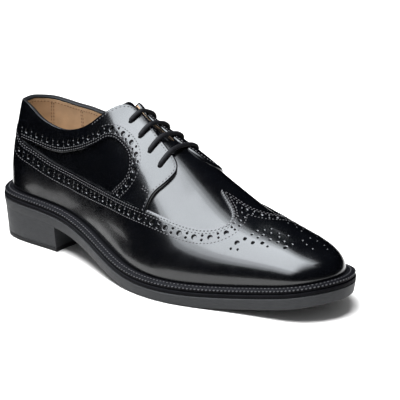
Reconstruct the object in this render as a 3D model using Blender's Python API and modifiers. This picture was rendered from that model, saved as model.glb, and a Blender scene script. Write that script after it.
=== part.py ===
"""Wingtip shoe: a right longwing derby with welted sole and stacked heel.

Sizes are in millimetres until the meshes are made. x runs from the back of the sole to the toe, y points to
the inner (medial) side and z is up from the floor. On the wall of the upper a place is given by x, where its
section meets the feather line, and by across, its distance from the ridge along the wall, lateral negative.
"""

import math

import bmesh
import bpy
import numpy as np
from mathutils.geometry import delaunay_2d_cdt

MM = 0.001

# Sole: plan outline, as half widths each side of the heel axis
SOLE_LENGTH = 301.2
TOE_TIP_Y = 3.3
OUTLINE = [
    # x, lateral, medial
    (4, 14.4, 14.0),
    (15, 26.6, 26.5),
    (38, 31.6, 32.2),
    (75, 32.5, 32.0),
    (115, 42.0, 30.8),
    (155, 53.0, 38.5),
    (195, 54.2, 50.5),
    (235, 41.4, 52.0),
    (265, 32.9, 44.0),
    (287, 24.0, 31.5),
]

# Sole: height of its underside, with the heel seat, the arch and the toe spring
UNDERSIDE = [
    # x, z
    (-20, 22.2),
    (0, 21.4),
    (35, 20.2),
    (70, 18.1),
    (110, 11.2),
    (150, 1.6),
    (190, -0.6),
    (225, 0.9),
    (255, 4.6),
    (285, 10.2),
    (305, 14.6),
]
SOLE_THICKNESS = 8.0
SOLE_UNDERCUT = 1.2
SEAT_GAP = 0.3

# Heel
HEEL_BREAST_X = 69.0
HEEL_BREAST_HOLLOW = 3.0
HEEL_TAPER = 1.6
LIFT_THICKNESS = 3.0
LIFT_TAPER = 0.4

# Welt: section of the ring, as inset from the sole outline and height above the sole
WELT_HEIGHT = 6.2
WELT_SECTION = [
    # inset, height
    (17.0, 0.3),
    (0.6, 0.3),
    (0.0, 0.9),
    (0.0, 2.6),
    (1.5, 3.1),
    (0.6, 3.8),
    (0.6, 5.3),
    (1.8, 6.2),
    (17.0, 6.2),
]

# Last: feather line, spine and sections. Side and crown are the lengths of a section's two handles, as parts
# of its height and half width, and lean tips the lower handle outwards.
FEATHER_INSET = 10.8
FEATHER_GAP = 0.8
HEEL_CENTRE = 38.0
TOE_CENTRE = 248.0
SPINE_SOFTNESS = 12.0
SECTIONS = [
    # x, ridge z, ridge y, side, lateral crown, medial crown, lean
    (38, 150.0, 0.0, 0.30, 0.62, 0.62, 0.02),
    (80, 142.0, 0.5, 0.30, 0.66, 0.70, -0.06),
    (115, 110.5, 0.5, 0.32, 0.69, 0.79, -0.10),
    (150, 93.6, -2.5, 0.36, 0.68, 0.84, -0.05),
    (185, 72.6, 2.5, 0.42, 0.62, 0.74, 0.00),
    (220, 52.4, 6.0, 0.47, 0.62, 0.66, 0.04),
    (248, 45.2, 6.0, 0.50, 0.60, 0.60, 0.06),
]
# side, lateral crown, medial crown, lean straight ahead at the toe and straight back at the heel
TOE_END = (0.48, 0.59, 0.59, 0.09)
HEEL_END = (0.21, 0.26, 0.26, 0.16)

# Upper: wall, opening and overlays
WALL = 2.0
OVERLAY_GAP = 0.65
OVERLAY = 1.35
EDGE_SETBACK = 1.0
OPENING = [
    # x, lateral across, medial across
    (11, 56.0, 56.0),
    (18, 55.8, 58.0),
    (34, 57.6, 60.6),
    (46, 63.0, 61.6),
    (57, 65.6, 61.2),
    (67, 65.0, 60.0),
    (77, 60.0, 55.6),
    (87, 50.2, 46.5),
    (96, 37.8, 35.0),
    (103, 25.6, 23.6),
    (108, 16.8, 15.4),
    (112, 10.2, 9.2),
    (116, 5.2, 4.9),
    (121, 2.6, 2.6),
    (128, 1.6, 1.6),
    (137, 3.2, 1.8),
    (146, 5.7, 2.0),
    (156, 8.8, 2.4),
    (163, 11.0, 3.0),
]
WALL_SLOT_ROUND = 150.0
WALL_SLOT_END = 156.0

# Long wing: height of its top edge above the feather, then the scallops and the peak on the vamp
WING_EDGE = [
    # x, lateral height, medial height
    (11, 47.5, 47.5),
    (18.6, 44.5, 44.5),
    (26.3, 38.0, 38.5),
    (38, 34.2, 34.5),
    (58, 29.3, 29.5),
    (80, 27.6, 28.0),
    (103, 29.0, 28.5),
    (128, 34.0, 31.0),
    (150, 38.4, 34.0),
    (169, 39.3, 36.0),
    (185, 37.2, 36.5),
    (198, 34.6, 35.5),
]
WING_LATERAL_SCALLOP = [
    # x, across
    (205, -37.3),
    (211, -33.0),
    (215.5, -28.2),
    (218.3, -22.8),
    (217.5, -18.0),
    (214.5, -14.0),
    (209, -10.8),
    (203.5, -8.5),
    (197.6, -5.6),
]
WING_MEDIAL_SCALLOP = [
    # x, across
    (197.6, -5.6),
    (203, -3.0),
    (210, -1.4),
    (216, -0.2),
    (221.5, 2.0),
    (227, 5.6),
    (230.5, 10.8),
    (230.5, 17.0),
    (226.5, 22.0),
    (219, 25.5),
    (208, 29.0),
]

# Facings: front lobe over the vamp, and inner edge of the eyestay and collar band
FACING_LOBES = {
    # x, across from the slot corner down to the wing
    "lateral": [
        (163, -11.0),
        (167.3, -12.4),
        (170.6, -14.6),
        (172.6, -17.6),
        (172.9, -22.3),
        (171.4, -28.6),
        (168.8, -34.8),
        (166.8, -40.2),
        (165.8, -46.0),
        (165.3, -52.0),
    ],
    "medial": [
        (163, 3.0),
        (170, 3.6),
        (176, 5.2),
        (179.6, 8.6),
        (180.6, 13.4),
        (179.0, 20.0),
        (176.0, 27.0),
        (173.6, 33.0),
        (172.4, 39.0),
        (172.0, 46.0),
    ],
}
FACING_BAND = [
    # x, across, from the wing edge up round the eyestay and back under the collar
    (129.0, 56.4),
    (135.1, 48.6),
    (139.3, 43.0),
    (141.3, 37.5),
    (140.4, 32.6),
    (138.0, 28.9),
    (133.5, 26.6),
    (127.0, 25.9),
    (119.5, 27.2),
    (113.8, 30.9),
    (108.3, 37.9),
    (98.8, 50.9),
    (88.5, 63.9),
    (78.5, 74.0),
    (68.0, 80.9),
    (58.2, 83.2),
    (48.2, 83.0),
    (37.7, 82.0),
    (27.0, 81.6),
]
PANEL_GAP = 0.5
BACK_SEAM_STEP = 0.001
FACING_TOP_X = 98.0
PATTERN_STRAIGHT_X = 90.0

# Heel strip: the small sewn strip low at the back
STRIP_HALF_WIDTH = 4.0
STRIP_MIDDLE = 12.5
STRIP_HALF_HEIGHT = 8.0
STRIP_SIDES = 16
STRIP_GAP = 0.35
STRIP_THICKNESS = 0.9

# Tongue, insole and lace
TONGUE_FRONT_X = 167.0
TONGUE_TOP_X = 107.0
TONGUE_TOP_DIP = 5.5
TONGUE_FLATTER = 2.0
TONGUE_HALF_FRONT = 17.0
TONGUE_HALF_TOP = 26.0
TONGUE_THICKNESS = 2.0
TONGUE_GAP = 1.4
TONGUE_ROWS = 11
TONGUE_COLUMNS = 11
INSOLE_THICKNESS = 3.0
INSOLE_MARGIN = 0.9
EYELETS = [
    # x, lateral across, medial across
    (126.2, -10.6, 10.2),
    (139.4, -13.8, 11.2),
    (151.4, -17.8, 12.4),
    (162.6, -21.6, 13.6),
]
EYELET_RADIUS = 2.2
LACE_RADIUS = 1.6
LACE_CLEARANCE = 0.3
LACE_BOW = 0.8

# Mesh spacing
COLUMN_STEP = 7.2
COLUMN_CLEAR = 2.9
ROW_COUNT = 10
PANEL_STEP = 5.5
PANEL_CLEAR = 3.2
SOLE_STEP = 8.5
WELT_STEP = 9.0
STRIPS_ACROSS = 2
LACE_STEPS = 11
EYELET_SIDES = 8
FINE_STEPS = 4001
SECTION_T = np.linspace(0, 1, 97)
NEAR_RIDGE_T = 0.995
SLOPE_STEP = 2e-4
MERGE = 0.25
PATTERN_CLOSE = 1e-6
SMOOTH_ANGLE = math.radians(40)


def spline(xs, ys):
    """Natural cubic spline through (xs, ys), as a function that gives its value or its slope."""
    xs = np.asarray(xs, float)
    ys = np.asarray(ys, float)
    step = np.diff(xs)
    matrix = np.eye(len(xs))
    right = np.zeros_like(ys)
    for i in range(1, len(xs) - 1):
        matrix[i, i - 1:i + 2] = step[i - 1], 2 * (step[i - 1] + step[i]), step[i]
        right[i] = 6 * ((ys[i + 1] - ys[i]) / step[i] - (ys[i] - ys[i - 1]) / step[i - 1])
    bend = np.linalg.solve(matrix, right)

    def value(x, slope=False):
        x = np.asarray(x, float)
        i = np.clip(np.searchsorted(xs, x) - 1, 0, len(xs) - 2)
        width, left, past = step[i], xs[i + 1] - x, x - xs[i]
        low = ys[i] / width - bend[i] * width / 6
        high = ys[i + 1] / width - bend[i + 1] * width / 6
        if slope:
            return (bend[i + 1] * past ** 2 - bend[i] * left ** 2) / (2 * width) + high - low
        return (bend[i] * left ** 3 + bend[i + 1] * past ** 3) / (6 * width) + low * left + high * past

    return value


def columns(table):
    """Splines of a table's later columns over its first."""
    first, *rest = zip(*table)
    return [spline(first, column) for column in rest]


def curve_through(points, step):
    """Points about step apart on a smooth open curve through the given ones."""
    points = np.asarray(points, float)
    chord = np.concatenate([[0], np.cumsum(np.linalg.norm(np.diff(points, axis=0), axis=1))])
    count = max(2, math.ceil(chord[-1] / step) + 1)
    at = np.linspace(0, chord[-1], count)
    return np.stack([spline(chord, column)(at) for column in points.T], -1)


def closed_spline(points):
    """Smooth closed plan curve through the points, for a parameter from 0 to 1."""
    points = np.asarray(points, float)
    chord = np.sqrt(np.linalg.norm(np.roll(points, -1, axis=0) - points, axis=1))
    knots = np.concatenate([[0], np.cumsum(chord)]) / chord.sum()
    wrap = 4
    knots = np.concatenate([knots[-1 - wrap:-1] - 1, knots[:-1], knots[:wrap] + 1])
    along = [spline(knots, np.concatenate([c[-wrap:], c, c[:wrap]])) for c in points.T]
    return lambda s: np.stack([part(np.asarray(s) % 1) for part in along], -1)


lateral_side = [(x, -lateral) for x, lateral, medial in OUTLINE]
medial_side = [(x, medial) for x, lateral, medial in reversed(OUTLINE)]
outline = closed_spline([(0, 0)] + lateral_side + [(SOLE_LENGTH, TOE_TIP_Y)] + medial_side)
underside, = columns(UNDERSIDE)
ridge_z, ridge_y, *handles = columns(SECTIONS)
opening = dict(zip(("lateral", "medial"), columns(OPENING)))
wing_height = dict(zip(("lateral", "medial"), columns(WING_EDGE)))


def plan(s, inset):
    """Sole outline moved inwards by inset."""
    s = np.asarray(s, float)
    tangent = outline(s + SLOPE_STEP) - outline(s - SLOPE_STEP)
    tangent /= np.linalg.norm(tangent, axis=-1, keepdims=True)
    outwards = np.stack([tangent[..., 1], -tangent[..., 0]], -1)
    return outline(s) - outwards * inset


def level(x, above):
    """Height of the surface that lies above the underside by the given thickness."""
    return underside(x) + above * np.sqrt(1 + underside(x, slope=True) ** 2)


class Rim:
    """The sole outline at one inset, split at its rearmost and foremost points into its two sides."""

    def __init__(self, inset):
        around = np.linspace(-0.5, 0.5, FINE_STEPS)
        x = plan(around, inset)[:, 0]
        back, toe = around[np.argmin(x)], around[np.argmax(x)] % 1
        self.back, self.front = x.min(), x.max()
        self.sides = {}
        for side, start in (("lateral", back), ("medial", back + 1)):
            s = np.linspace(start, toe, FINE_STEPS)
            points = plan(s, inset)
            length = np.concatenate([[0], np.cumsum(np.linalg.norm(np.diff(points, axis=0), axis=1))])
            self.sides[side] = np.maximum.accumulate(points[:, 0]), s, length

    def parameter(self, x, side):
        """Outline parameter at x on one side."""
        at, s, length = self.sides[side]
        return np.interp(x, at, s)

    def run(self, x, side):
        """Distance along the side from the rearmost point."""
        at, s, length = self.sides[side]
        return np.interp(x, at, length)

    def stations(self, step):
        """Values of x about step apart along the lateral side, from the rearmost to the foremost point."""
        at, s, length = self.sides["lateral"]
        count = round(length[-1] / step)
        return np.interp(np.linspace(0, length[-1], count + 1), length, at)


feather = Rim(FEATHER_INSET)


def soft_clamp(x, low, high, width):
    x = high - width * np.logaddexp(0, (high - x) / width)
    return low + width * np.logaddexp(0, (x - low) / width)


def section(s):
    """Control points of the last's sections, with their foot on the spine and their plan direction."""
    foot = plan(s, FEATHER_INSET)
    foot_z = level(foot[:, 0], SOLE_THICKNESS + WELT_HEIGHT + FEATHER_GAP)
    spine_x = soft_clamp(foot[:, 0], HEEL_CENTRE, TOE_CENTRE, SPINE_SOFTNESS)
    spine = np.stack([spine_x, ridge_y(spine_x)], -1)
    reach = np.linalg.norm(foot - spine, axis=1)
    way = (foot - spine) / reach[:, None]
    to_toe = np.maximum(way[:, 0], 0) ** 2
    to_heel = np.maximum(-way[:, 0], 0) ** 2
    side, crown_lateral, crown_medial, lean = (
        f(spine_x) + to_toe * (toe - f(TOE_CENTRE)) + to_heel * (heel - f(HEEL_CENTRE))
        for f, toe, heel in zip(handles, TOE_END, HEEL_END)
    )
    medial = 0.5 + 0.5 * way[:, 1]
    top = ridge_z(spine_x)
    low_handle = side * (top - foot_z)
    high_handle = ((1 - medial) * crown_lateral + medial * crown_medial) * reach
    high_rise = ridge_z(spine_x, slope=True) * high_handle * way[:, 0]
    controls = np.stack([
        np.c_[foot, foot_z],
        np.c_[foot + way * (lean * low_handle)[:, None], foot_z + low_handle],
        np.c_[spine + way * high_handle[:, None], top + high_rise],
        np.c_[spine, top],
    ], 1)
    return controls, spine, way


def bezier(controls, t):
    t = np.asarray(t)[:, None]
    weights = ((1 - t) ** 3, 3 * t * (1 - t) ** 2, 3 * t * t * (1 - t), t ** 3)
    return sum(controls[:, i] * weight for i, weight in enumerate(weights))


def bezier_slope(controls, t):
    t = np.asarray(t)[:, None]
    weights = ((1 - t) ** 2, 2 * t * (1 - t), t * t)
    return sum((controls[:, i + 1] - controls[:, i]) * weight for i, weight in enumerate(weights))


def arcs(controls):
    """Distance from the ridge along each section, at the steps of SECTION_T."""
    points = np.stack([bezier(controls, np.full(len(controls), t)) for t in SECTION_T], 1)
    steps = np.linalg.norm(np.diff(points, axis=1), axis=2)[:, ::-1]
    from_ridge = np.concatenate([np.zeros((len(controls), 1)), np.cumsum(steps, axis=1)], 1)
    return from_ridge[:, ::-1]


def wall_length(x, side):
    """Length of the section from ridge to feather."""
    return arcs(section(feather.parameter(np.atleast_1d(x), side))[0])[:, 0]


def wall_parameters(places):
    """Outline parameter and section parameter of (x, across) places."""
    places = np.asarray(places, float)
    x = places[:, 0]
    s = np.where(places[:, 1] <= 0, feather.parameter(x, "lateral"), feather.parameter(x, "medial"))
    distance = arcs(section(s)[0])
    across = np.abs(places[:, 1])
    t = np.array([np.interp(-a, -d, SECTION_T) for a, d in zip(across, distance)])
    return s, t


def on_wall(places, lift):
    """Points at (x, across) places, lifted off the last along its normal."""
    s, t = wall_parameters(places)
    t = np.minimum(t, NEAR_RIDGE_T)
    controls = section(s)[0]
    along = bezier(section(s + SLOPE_STEP)[0], t) - bezier(section(s - SLOPE_STEP)[0], t)
    normal = np.cross(along, bezier_slope(controls, t))
    normal /= np.linalg.norm(normal, axis=1)[:, None]
    return bezier(controls, t) + normal * np.broadcast_to(lift, len(t))[:, None]


def pattern(places):
    """Flat pattern of (x, across) places, open at the back, with its sections fanned out only at the toe."""
    places = np.asarray(places, float)
    s, t = wall_parameters(places)
    controls, spine, way = section(s)
    flat = spine + way * np.abs(places[:, 1])[:, None]
    for side, sign in (("lateral", -1), ("medial", 1)):
        rear = (places[:, 0] < PATTERN_STRAIGHT_X) & (places[:, 1] * sign > 0)
        run = feather.run(PATTERN_STRAIGHT_X, side) - feather.run(places[rear, 0], side)
        flat[rear] = np.stack([PATTERN_STRAIGHT_X - run, places[rear, 1] + ridge_y(PATTERN_STRAIGHT_X)], -1)
    return flat


def new_object(name, mesh_points, faces, material, closed):
    """Mesh object from points in millimetres; a closed one has its faces turned outwards."""
    mesh = bpy.data.meshes.new(name)
    mesh.from_pydata((np.asarray(mesh_points) * MM).tolist(), [], [list(map(int, face)) for face in faces])
    shape = bmesh.new()
    shape.from_mesh(mesh)
    bmesh.ops.remove_doubles(shape, verts=shape.verts, dist=MERGE * MM)
    if closed:
        bmesh.ops.recalc_face_normals(shape, faces=shape.faces)
    shape.to_mesh(mesh)
    shape.free()
    mesh.shade_smooth()
    mesh.set_sharp_from_angle(angle=SMOOTH_ANGLE)
    return place_object(name, mesh, material)


def place_object(name, data, material):
    thing = bpy.data.objects.new(name, data)
    shoe.objects.link(thing)
    thing.parent = origin
    data.materials.append(material)
    return thing


def solidify(thing, thickness):
    """Give an open surface its thickness, outwards."""
    shell = thing.modifiers.new("thickness", "SOLIDIFY")
    shell.thickness = thickness * MM
    shell.offset = 1.0
    shell.use_even_offset = True


def make_material(name, colour, roughness):
    material = bpy.data.materials.new(name)
    material.use_nodes = True
    surface = material.node_tree.nodes["Principled BSDF"]
    surface.inputs["Base Color"].default_value = (*colour, 1)
    surface.inputs["Roughness"].default_value = roughness
    surface.inputs["Metallic"].default_value = 0.0
    return material


def rim_columns():
    """Stations of the wall's columns along the feather, closer together at the facings' top and the slot."""
    close = [x for x, lateral, medial in OPENING if FACING_TOP_X < x <= WALL_SLOT_END]
    even = [x for x in feather.stations(COLUMN_STEP) if np.abs(np.subtract(close, x)).min() > COLUMN_CLEAR]
    return np.unique(np.concatenate([even, close]))


def wall_edge(x, side):
    """Distance from the ridge at which the wall ends, along the collar and the slot."""
    edge = opening[side](np.minimum(x, WALL_SLOT_ROUND)) + EDGE_SETBACK
    past = np.clip((x - WALL_SLOT_ROUND) / (WALL_SLOT_END - WALL_SLOT_ROUND), 0, 1)
    return edge * np.sqrt(1 - past ** 2)


def wall_places():
    """Columns of (x, across) places on the wall, from the feather to its edge, round the whole shoe."""
    stations = rim_columns()
    sides = []
    for side, sign in (("lateral", -1), ("medial", 1)):
        length = wall_length(stations, side)
        edge = wall_edge(stations, side)
        share = np.linspace(0, 1, ROW_COUNT + 1)[None, :]
        across = sign * (length[:, None] * (1 - share) + edge[:, None] * share)
        sides.append(np.stack([np.repeat(stations[:, None], ROW_COUNT + 1, 1), across], -1))
    return np.concatenate([sides[0], sides[1][-2:0:-1]])


def make_upper(places, material):
    count, rows = places.shape[:2]
    points = on_wall(places.reshape(-1, 2), 0.0)
    faces = []
    for i in range(count):
        after = (i + 1) % count
        for j in range(rows - 1):
            faces.append((i * rows + j, after * rows + j, after * rows + j + 1, i * rows + j + 1))
    upper = new_object("upper", points, faces, material, False)
    solidify(upper, WALL)
    return upper


def inside(points, loop):
    """Which flat points lie inside a closed loop."""
    x, y = points[:, 0, None], points[:, 1, None]
    ax, ay = loop[:, 0], loop[:, 1]
    bx, by = np.roll(ax, -1), np.roll(ay, -1)
    crosses = (ay > y) != (by > y)
    rise = np.where(by == ay, 1.0, by - ay)
    return (crosses & (x < ax + (y - ay) * (bx - ax) / rise)).sum(1) % 2 == 1


def on_panel(points, edges):
    """Which flat points lie inside the first edge and outside the others."""
    return inside(points, edges[0]) & ~np.any([inside(points, hole) for hole in edges[1:]], axis=0)


def make_panel(name, loops, wall, material, lift, thickness):
    """Panel cut from the flat pattern, inside its first closed loop of places and outside the others."""
    rims = np.concatenate(loops)
    edges = [pattern(loop) for loop in loops]
    fill = wall.reshape(-1, 2)
    fill = fill[on_panel(pattern(fill), edges)]
    gaps = np.linalg.norm(on_wall(fill, lift)[:, None] - on_wall(rims, lift)[None], axis=2)
    fill = fill[gaps.min(1) > PANEL_CLEAR]
    places = np.concatenate([rims, fill])
    rings, first = [], 0
    for loop in loops:
        rings += [(first + i, first + (i + 1) % len(loop)) for i in range(len(loop))]
        first += len(loop)
    flat, _, triangles, sources, *_ = delaunay_2d_cdt(
        [tuple(point) for point in pattern(places).tolist()], rings, [], 0, PATTERN_CLOSE)
    flat = np.array([tuple(point) for point in flat])
    triangles = np.array(triangles)
    kept = triangles[on_panel(flat[triangles].mean(1), edges)]
    places = places[[source[0] for source in sources]]
    panel = new_object(name, on_wall(places, lift), kept, material, False)
    solidify(panel, thickness)
    return panel


def wing_top(x, side, gap=0.0):
    """Places on the wing's top edge at stations x, or that much above it."""
    across = wall_length(x, side) - wing_height[side](x) - gap
    return np.stack([x, across if side == "medial" else -across], -1)


def wing_loop():
    """The long wing: up from the feather, over the vamp in two scallops with a peak between them."""
    stations = rim_columns()
    last = len(stations) - 1
    foot = np.concatenate([
        np.stack([stations, -wall_length(stations, "lateral")], -1),
        np.stack([stations, wall_length(stations, "medial")], -1)[last - 1::-1],
    ])
    straight = stations[stations < WING_EDGE[-1][0]]
    lateral, medial = (wing_top(straight, side) for side in ("lateral", "medial"))
    scallops = [
        curve_through(np.concatenate([lateral[-2:], WING_LATERAL_SCALLOP]), PANEL_STEP)[1:-1],
        curve_through(np.concatenate([WING_MEDIAL_SCALLOP, medial[:-3:-1]]), PANEL_STEP)[:-1],
    ]
    low, high = wing_top(stations[:1], "medial")[0, 1], wall_length(stations[:1], "medial")[0]
    seam = np.linspace(high, low, round((high - low) / PANEL_STEP) + 1)[1:-1]
    seam_up = np.stack([np.full(len(seam), stations[0]), seam], -1)
    seam_down = (seam_up * (1, -1))[::-1]
    over = np.concatenate([medial[:-1], scallops[1][::-1], scallops[0][::-1], lateral[-2::-1]])
    return np.concatenate([foot, seam_up, over, seam_down])


def facing_loop(side):
    """Eyestay and collar of one side: collar and slot edge, front lobe, wing edge, band edge, back seam."""
    sign = 1 if side == "medial" else -1
    rear = feather.stations(PANEL_STEP)
    rear = rear[(rear > feather.back) & (rear < FACING_TOP_X - 0.5 * PANEL_STEP)]
    top = [x for x, lateral, medial in OPENING if x > FACING_TOP_X]
    seam_x = feather.back + BACK_SEAM_STEP
    collar_x = np.concatenate([[seam_x], rear, top])
    collar = np.stack([collar_x, sign * opening[side](collar_x)], -1)
    lobe = curve_through(FACING_LOBES[side], PANEL_STEP)
    band = curve_through([(x, sign * across) for x, across in FACING_BAND], PANEL_STEP)
    below_x = np.linspace(lobe[-1, 0], band[0, 0], round((lobe[-1, 0] - band[0, 0]) / PANEL_STEP) + 1)
    below = wing_top(below_x, side, PANEL_GAP)
    behind = wing_top(np.append(rear[rear < band[-1, 0]][::-1], seam_x), side, PANEL_GAP)
    return np.concatenate([collar, lobe[1:-1], below, band[1:-1], behind])


def eyelet_loops(side):
    """Round lace holes of one facing."""
    turn = np.linspace(0, 2 * math.pi, EYELET_SIDES, endpoint=False)
    ring = EYELET_RADIUS * np.stack([np.cos(turn), np.sin(turn)], -1)
    return [ring + (x, medial if side == "medial" else lateral) for x, lateral, medial in EYELETS]


def make_heel_strip(material):
    """Sewn strip low at the back of the heel, over the wing."""
    turn = np.linspace(0, 2 * math.pi, STRIP_SIDES, endpoint=False)
    ring = np.stack([STRIP_HALF_WIDTH * np.cos(turn), STRIP_HALF_HEIGHT * np.sin(turn)], -1)
    spots = np.concatenate([ring, 0.5 * ring, [(0, 0)]])
    at, s, length = feather.sides["lateral"]
    x = np.interp(np.abs(spots[:, 0]), length, at)
    full = wall_length(np.array([feather.back]), "lateral")[0]
    across = (full - STRIP_MIDDLE - spots[:, 1]) * np.where(spots[:, 0] > 0, 1, -1)
    points = on_wall(np.stack([x, across], -1), WALL + OVERLAY_GAP + OVERLAY + STRIP_GAP)
    n = STRIP_SIDES
    faces = [(n + i, n + (i + 1) % n, (i + 1) % n, i) for i in range(n)]
    faces += [(2 * n, n + (i + 1) % n, n + i) for i in range(n)]
    strip = new_object("heel_strip", points, faces, material, False)
    solidify(strip, STRIP_THICKNESS)
    return strip


def make_slab(name, profile, material, end_x=None):
    """Plate that follows the sole: rows of inset and height function, from lower face to upper face."""
    top = Rim(profile[-1][0])
    top_x = top.stations(SOLE_STEP)
    if end_x is not None:
        top_x = np.append(top_x[top_x < end_x - 0.5 * SOLE_STEP], end_x)
    span = (top_x - top.back) / (top_x[-1] - top.back)
    share = np.linspace(0, 1, STRIPS_ACROSS + 1)[None, :, None]
    layers = []
    for inset, height in profile:
        rim = Rim(inset)
        x = rim.back + span * ((end_x or rim.front) - rim.back)
        lateral, medial = (plan(rim.parameter(x, side), inset) for side in ("lateral", "medial"))
        rows = lateral[:, None] * (1 - share) + medial[:, None] * share
        layers.append(np.concatenate([rows, height(rows[..., 0])[..., None]], -1))
    count, width = len(top_x), STRIPS_ACROSS + 1
    index = np.arange(len(profile) * count * width).reshape(len(profile), count, width)
    lateral, medial = index[:, :, 0], index[:, -2::-1, -1]
    border = np.concatenate([lateral, index[:, -1, 1:], medial, index[:, 0, -2:0:-1]], axis=1)
    after = np.roll(border, -1, axis=1)
    quads = [np.stack([border[:-1], after[:-1], after[1:], border[1:]], -1)]
    for plate in (index[0], index[-1]):
        quads.append(np.stack([plate[:-1, :-1], plate[1:, :-1], plate[1:, 1:], plate[:-1, 1:]], -1))
    faces = np.concatenate([quad.reshape(-1, 4) for quad in quads])
    return new_object(name, np.concatenate(layers).reshape(-1, 3), faces, material, True)


def make_outsole(material):
    return make_slab("outsole", [
        (SOLE_UNDERCUT, lambda x: np.maximum(underside(x), 0.0)),
        (0.0, lambda x: level(x, SOLE_THICKNESS)),
    ], material)


def make_insole(material):
    """Insole with its filling, which lies inside the welt."""
    filling, top = SOLE_THICKNESS + SEAT_GAP, SOLE_THICKNESS + WELT_HEIGHT + SEAT_GAP
    inner, outer = WELT_SECTION[0][0] + SEAT_GAP, FEATHER_INSET + INSOLE_MARGIN
    return make_slab("insole", [
        (inner, lambda x: level(x, filling)),
        (inner, lambda x: level(x, top)),
        (outer, lambda x: level(x, top)),
        (outer, lambda x: level(x, top + INSOLE_THICKNESS)),
    ], material)


def make_heel_layer(name, profile, material):
    """Piece of the heel: the rear of the outline up to the hollow breast."""
    layer = make_slab(name, profile, material, HEEL_BREAST_X)
    breast = [v for v in layer.data.vertices if abs(v.co.x / MM - HEEL_BREAST_X) < SEAT_GAP]
    sides = [v.co.y for v in breast]
    half, middle = 0.5 * (max(sides) - min(sides)), 0.5 * (max(sides) + min(sides))
    for vertex in breast:
        vertex.co.x -= HEEL_BREAST_HOLLOW * MM * (1 - ((vertex.co.y - middle) / half) ** 2)
    return layer


def make_heel(block_material, lift_material):
    foot = SOLE_UNDERCUT + HEEL_TAPER
    make_heel_layer("heel_block", [
        (foot, lambda x: np.full_like(x, LIFT_THICKNESS + SEAT_GAP)),
        (SOLE_UNDERCUT, lambda x: underside(x) - SEAT_GAP),
    ], block_material)
    make_heel_layer("heel_lift", [
        (foot + LIFT_TAPER, np.zeros_like),
        (foot, lambda x: np.full_like(x, LIFT_THICKNESS)),
    ], lift_material)


def make_welt(material):
    """Ring swept round the sole."""
    rim = Rim(0.0)
    x = rim.stations(WELT_STEP)
    s = np.concatenate([rim.parameter(x, "lateral"), rim.parameter(x, "medial")[-2:0:-1]])
    edges = [plan(s, inset) for inset, height in WELT_SECTION]
    tops = [level(edge[:, 0], SOLE_THICKNESS + height) for edge, (inset, height) in zip(edges, WELT_SECTION)]
    points = np.concatenate([np.stack(edges, 1), np.stack(tops, 1)[..., None]], -1)
    count, sides = points.shape[:2]
    faces = []
    for i in range(count):
        after = (i + 1) % count
        for j in range(sides):
            k = (j + 1) % sides
            faces.append((i * sides + j, after * sides + j, after * sides + k, i * sides + k))
    return new_object("welt", points.reshape(-1, 3), faces, material, True)


def make_tongue(material):
    """Curved plate under the throat, widening to its rounded top."""
    stations = np.linspace(TONGUE_FRONT_X, TONGUE_TOP_X, TONGUE_ROWS)
    share = np.linspace(-1, 1, TONGUE_COLUMNS)
    along = (TONGUE_FRONT_X - stations) / (TONGUE_FRONT_X - TONGUE_TOP_X)
    half = TONGUE_HALF_FRONT + (TONGUE_HALF_TOP - TONGUE_HALF_FRONT) * along
    x = stations[:, None] + TONGUE_TOP_DIP * along[:, None] ** 4 * (1 - share[None] ** 2)
    places = np.stack([x, half[:, None] * share[None]], -1)
    drop = TONGUE_FLATTER * along[:, None] ** 2 * (1 - share[None] ** 2) ** 2
    points = on_wall(places.reshape(-1, 2), -(TONGUE_GAP + TONGUE_THICKNESS) - drop.ravel())
    faces = []
    for i in range(TONGUE_ROWS - 1):
        for j in range(TONGUE_COLUMNS - 1):
            a, b = i * TONGUE_COLUMNS + j, (i + 1) * TONGUE_COLUMNS + j
            faces.append((a, a + 1, b + 1, b))
    tongue = new_object("tongue", points, faces, material, False)
    solidify(tongue, TONGUE_THICKNESS)
    return tongue


def make_lace_bars(material):
    """Four straight bars across the throat, bowed over the facings and turned down at their eyelets."""
    lift = WALL + OVERLAY_GAP + OVERLAY + LACE_CLEARANCE + LACE_RADIUS
    for number, (x, lateral, medial) in enumerate(EYELETS, 1):
        share = np.linspace(0, 1, LACE_STEPS)
        across = lateral + (medial - lateral) * share
        places = np.stack([np.full(len(share), x), across], -1)
        points = on_wall(places, lift + LACE_BOW * np.sin(math.pi * share))
        bar = bpy.data.curves.new(f"lace_bar_{number}", "CURVE")
        bar.dimensions = "3D"
        bar.bevel_depth = LACE_RADIUS * MM
        bar.bevel_resolution = 2
        bar.use_fill_caps = True
        run = bar.splines.new("POLY")
        run.points.add(len(points) - 1)
        for point, place in zip(run.points, points):
            point.co = (*(place * MM), 1)
        place_object(f"lace_bar_{number}", bar, material)


for thing in list(bpy.data.objects):
    bpy.data.objects.remove(thing)
shoe = bpy.data.collections.new("wingtip shoe")
bpy.context.scene.collection.children.link(shoe)
outline_points = plan(np.linspace(0, 1, FINE_STEPS), 0.0)
middle = 0.5 * (outline_points.min(0) + outline_points.max(0))
origin = bpy.data.objects.new("shoe_origin", None)
origin.location = (-middle[0] * MM, -middle[1] * MM, 0)
shoe.objects.link(origin)

black_leather = make_material("black leather", (0.012, 0.012, 0.014), 0.22)
overlay_leather = make_material("overlay leather", (0.014, 0.014, 0.016), 0.2)
lining_leather = make_material("tan leather", (0.45, 0.27, 0.14), 0.6)
sole_rubber = make_material("sole edge", (0.06, 0.062, 0.066), 0.45)
lift_rubber = make_material("heel lift rubber", (0.02, 0.02, 0.02), 0.7)
welt_leather = make_material("welt", (0.018, 0.018, 0.02), 0.4)
lace_cotton = make_material("waxed lace", (0.012, 0.012, 0.013), 0.5)

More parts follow.
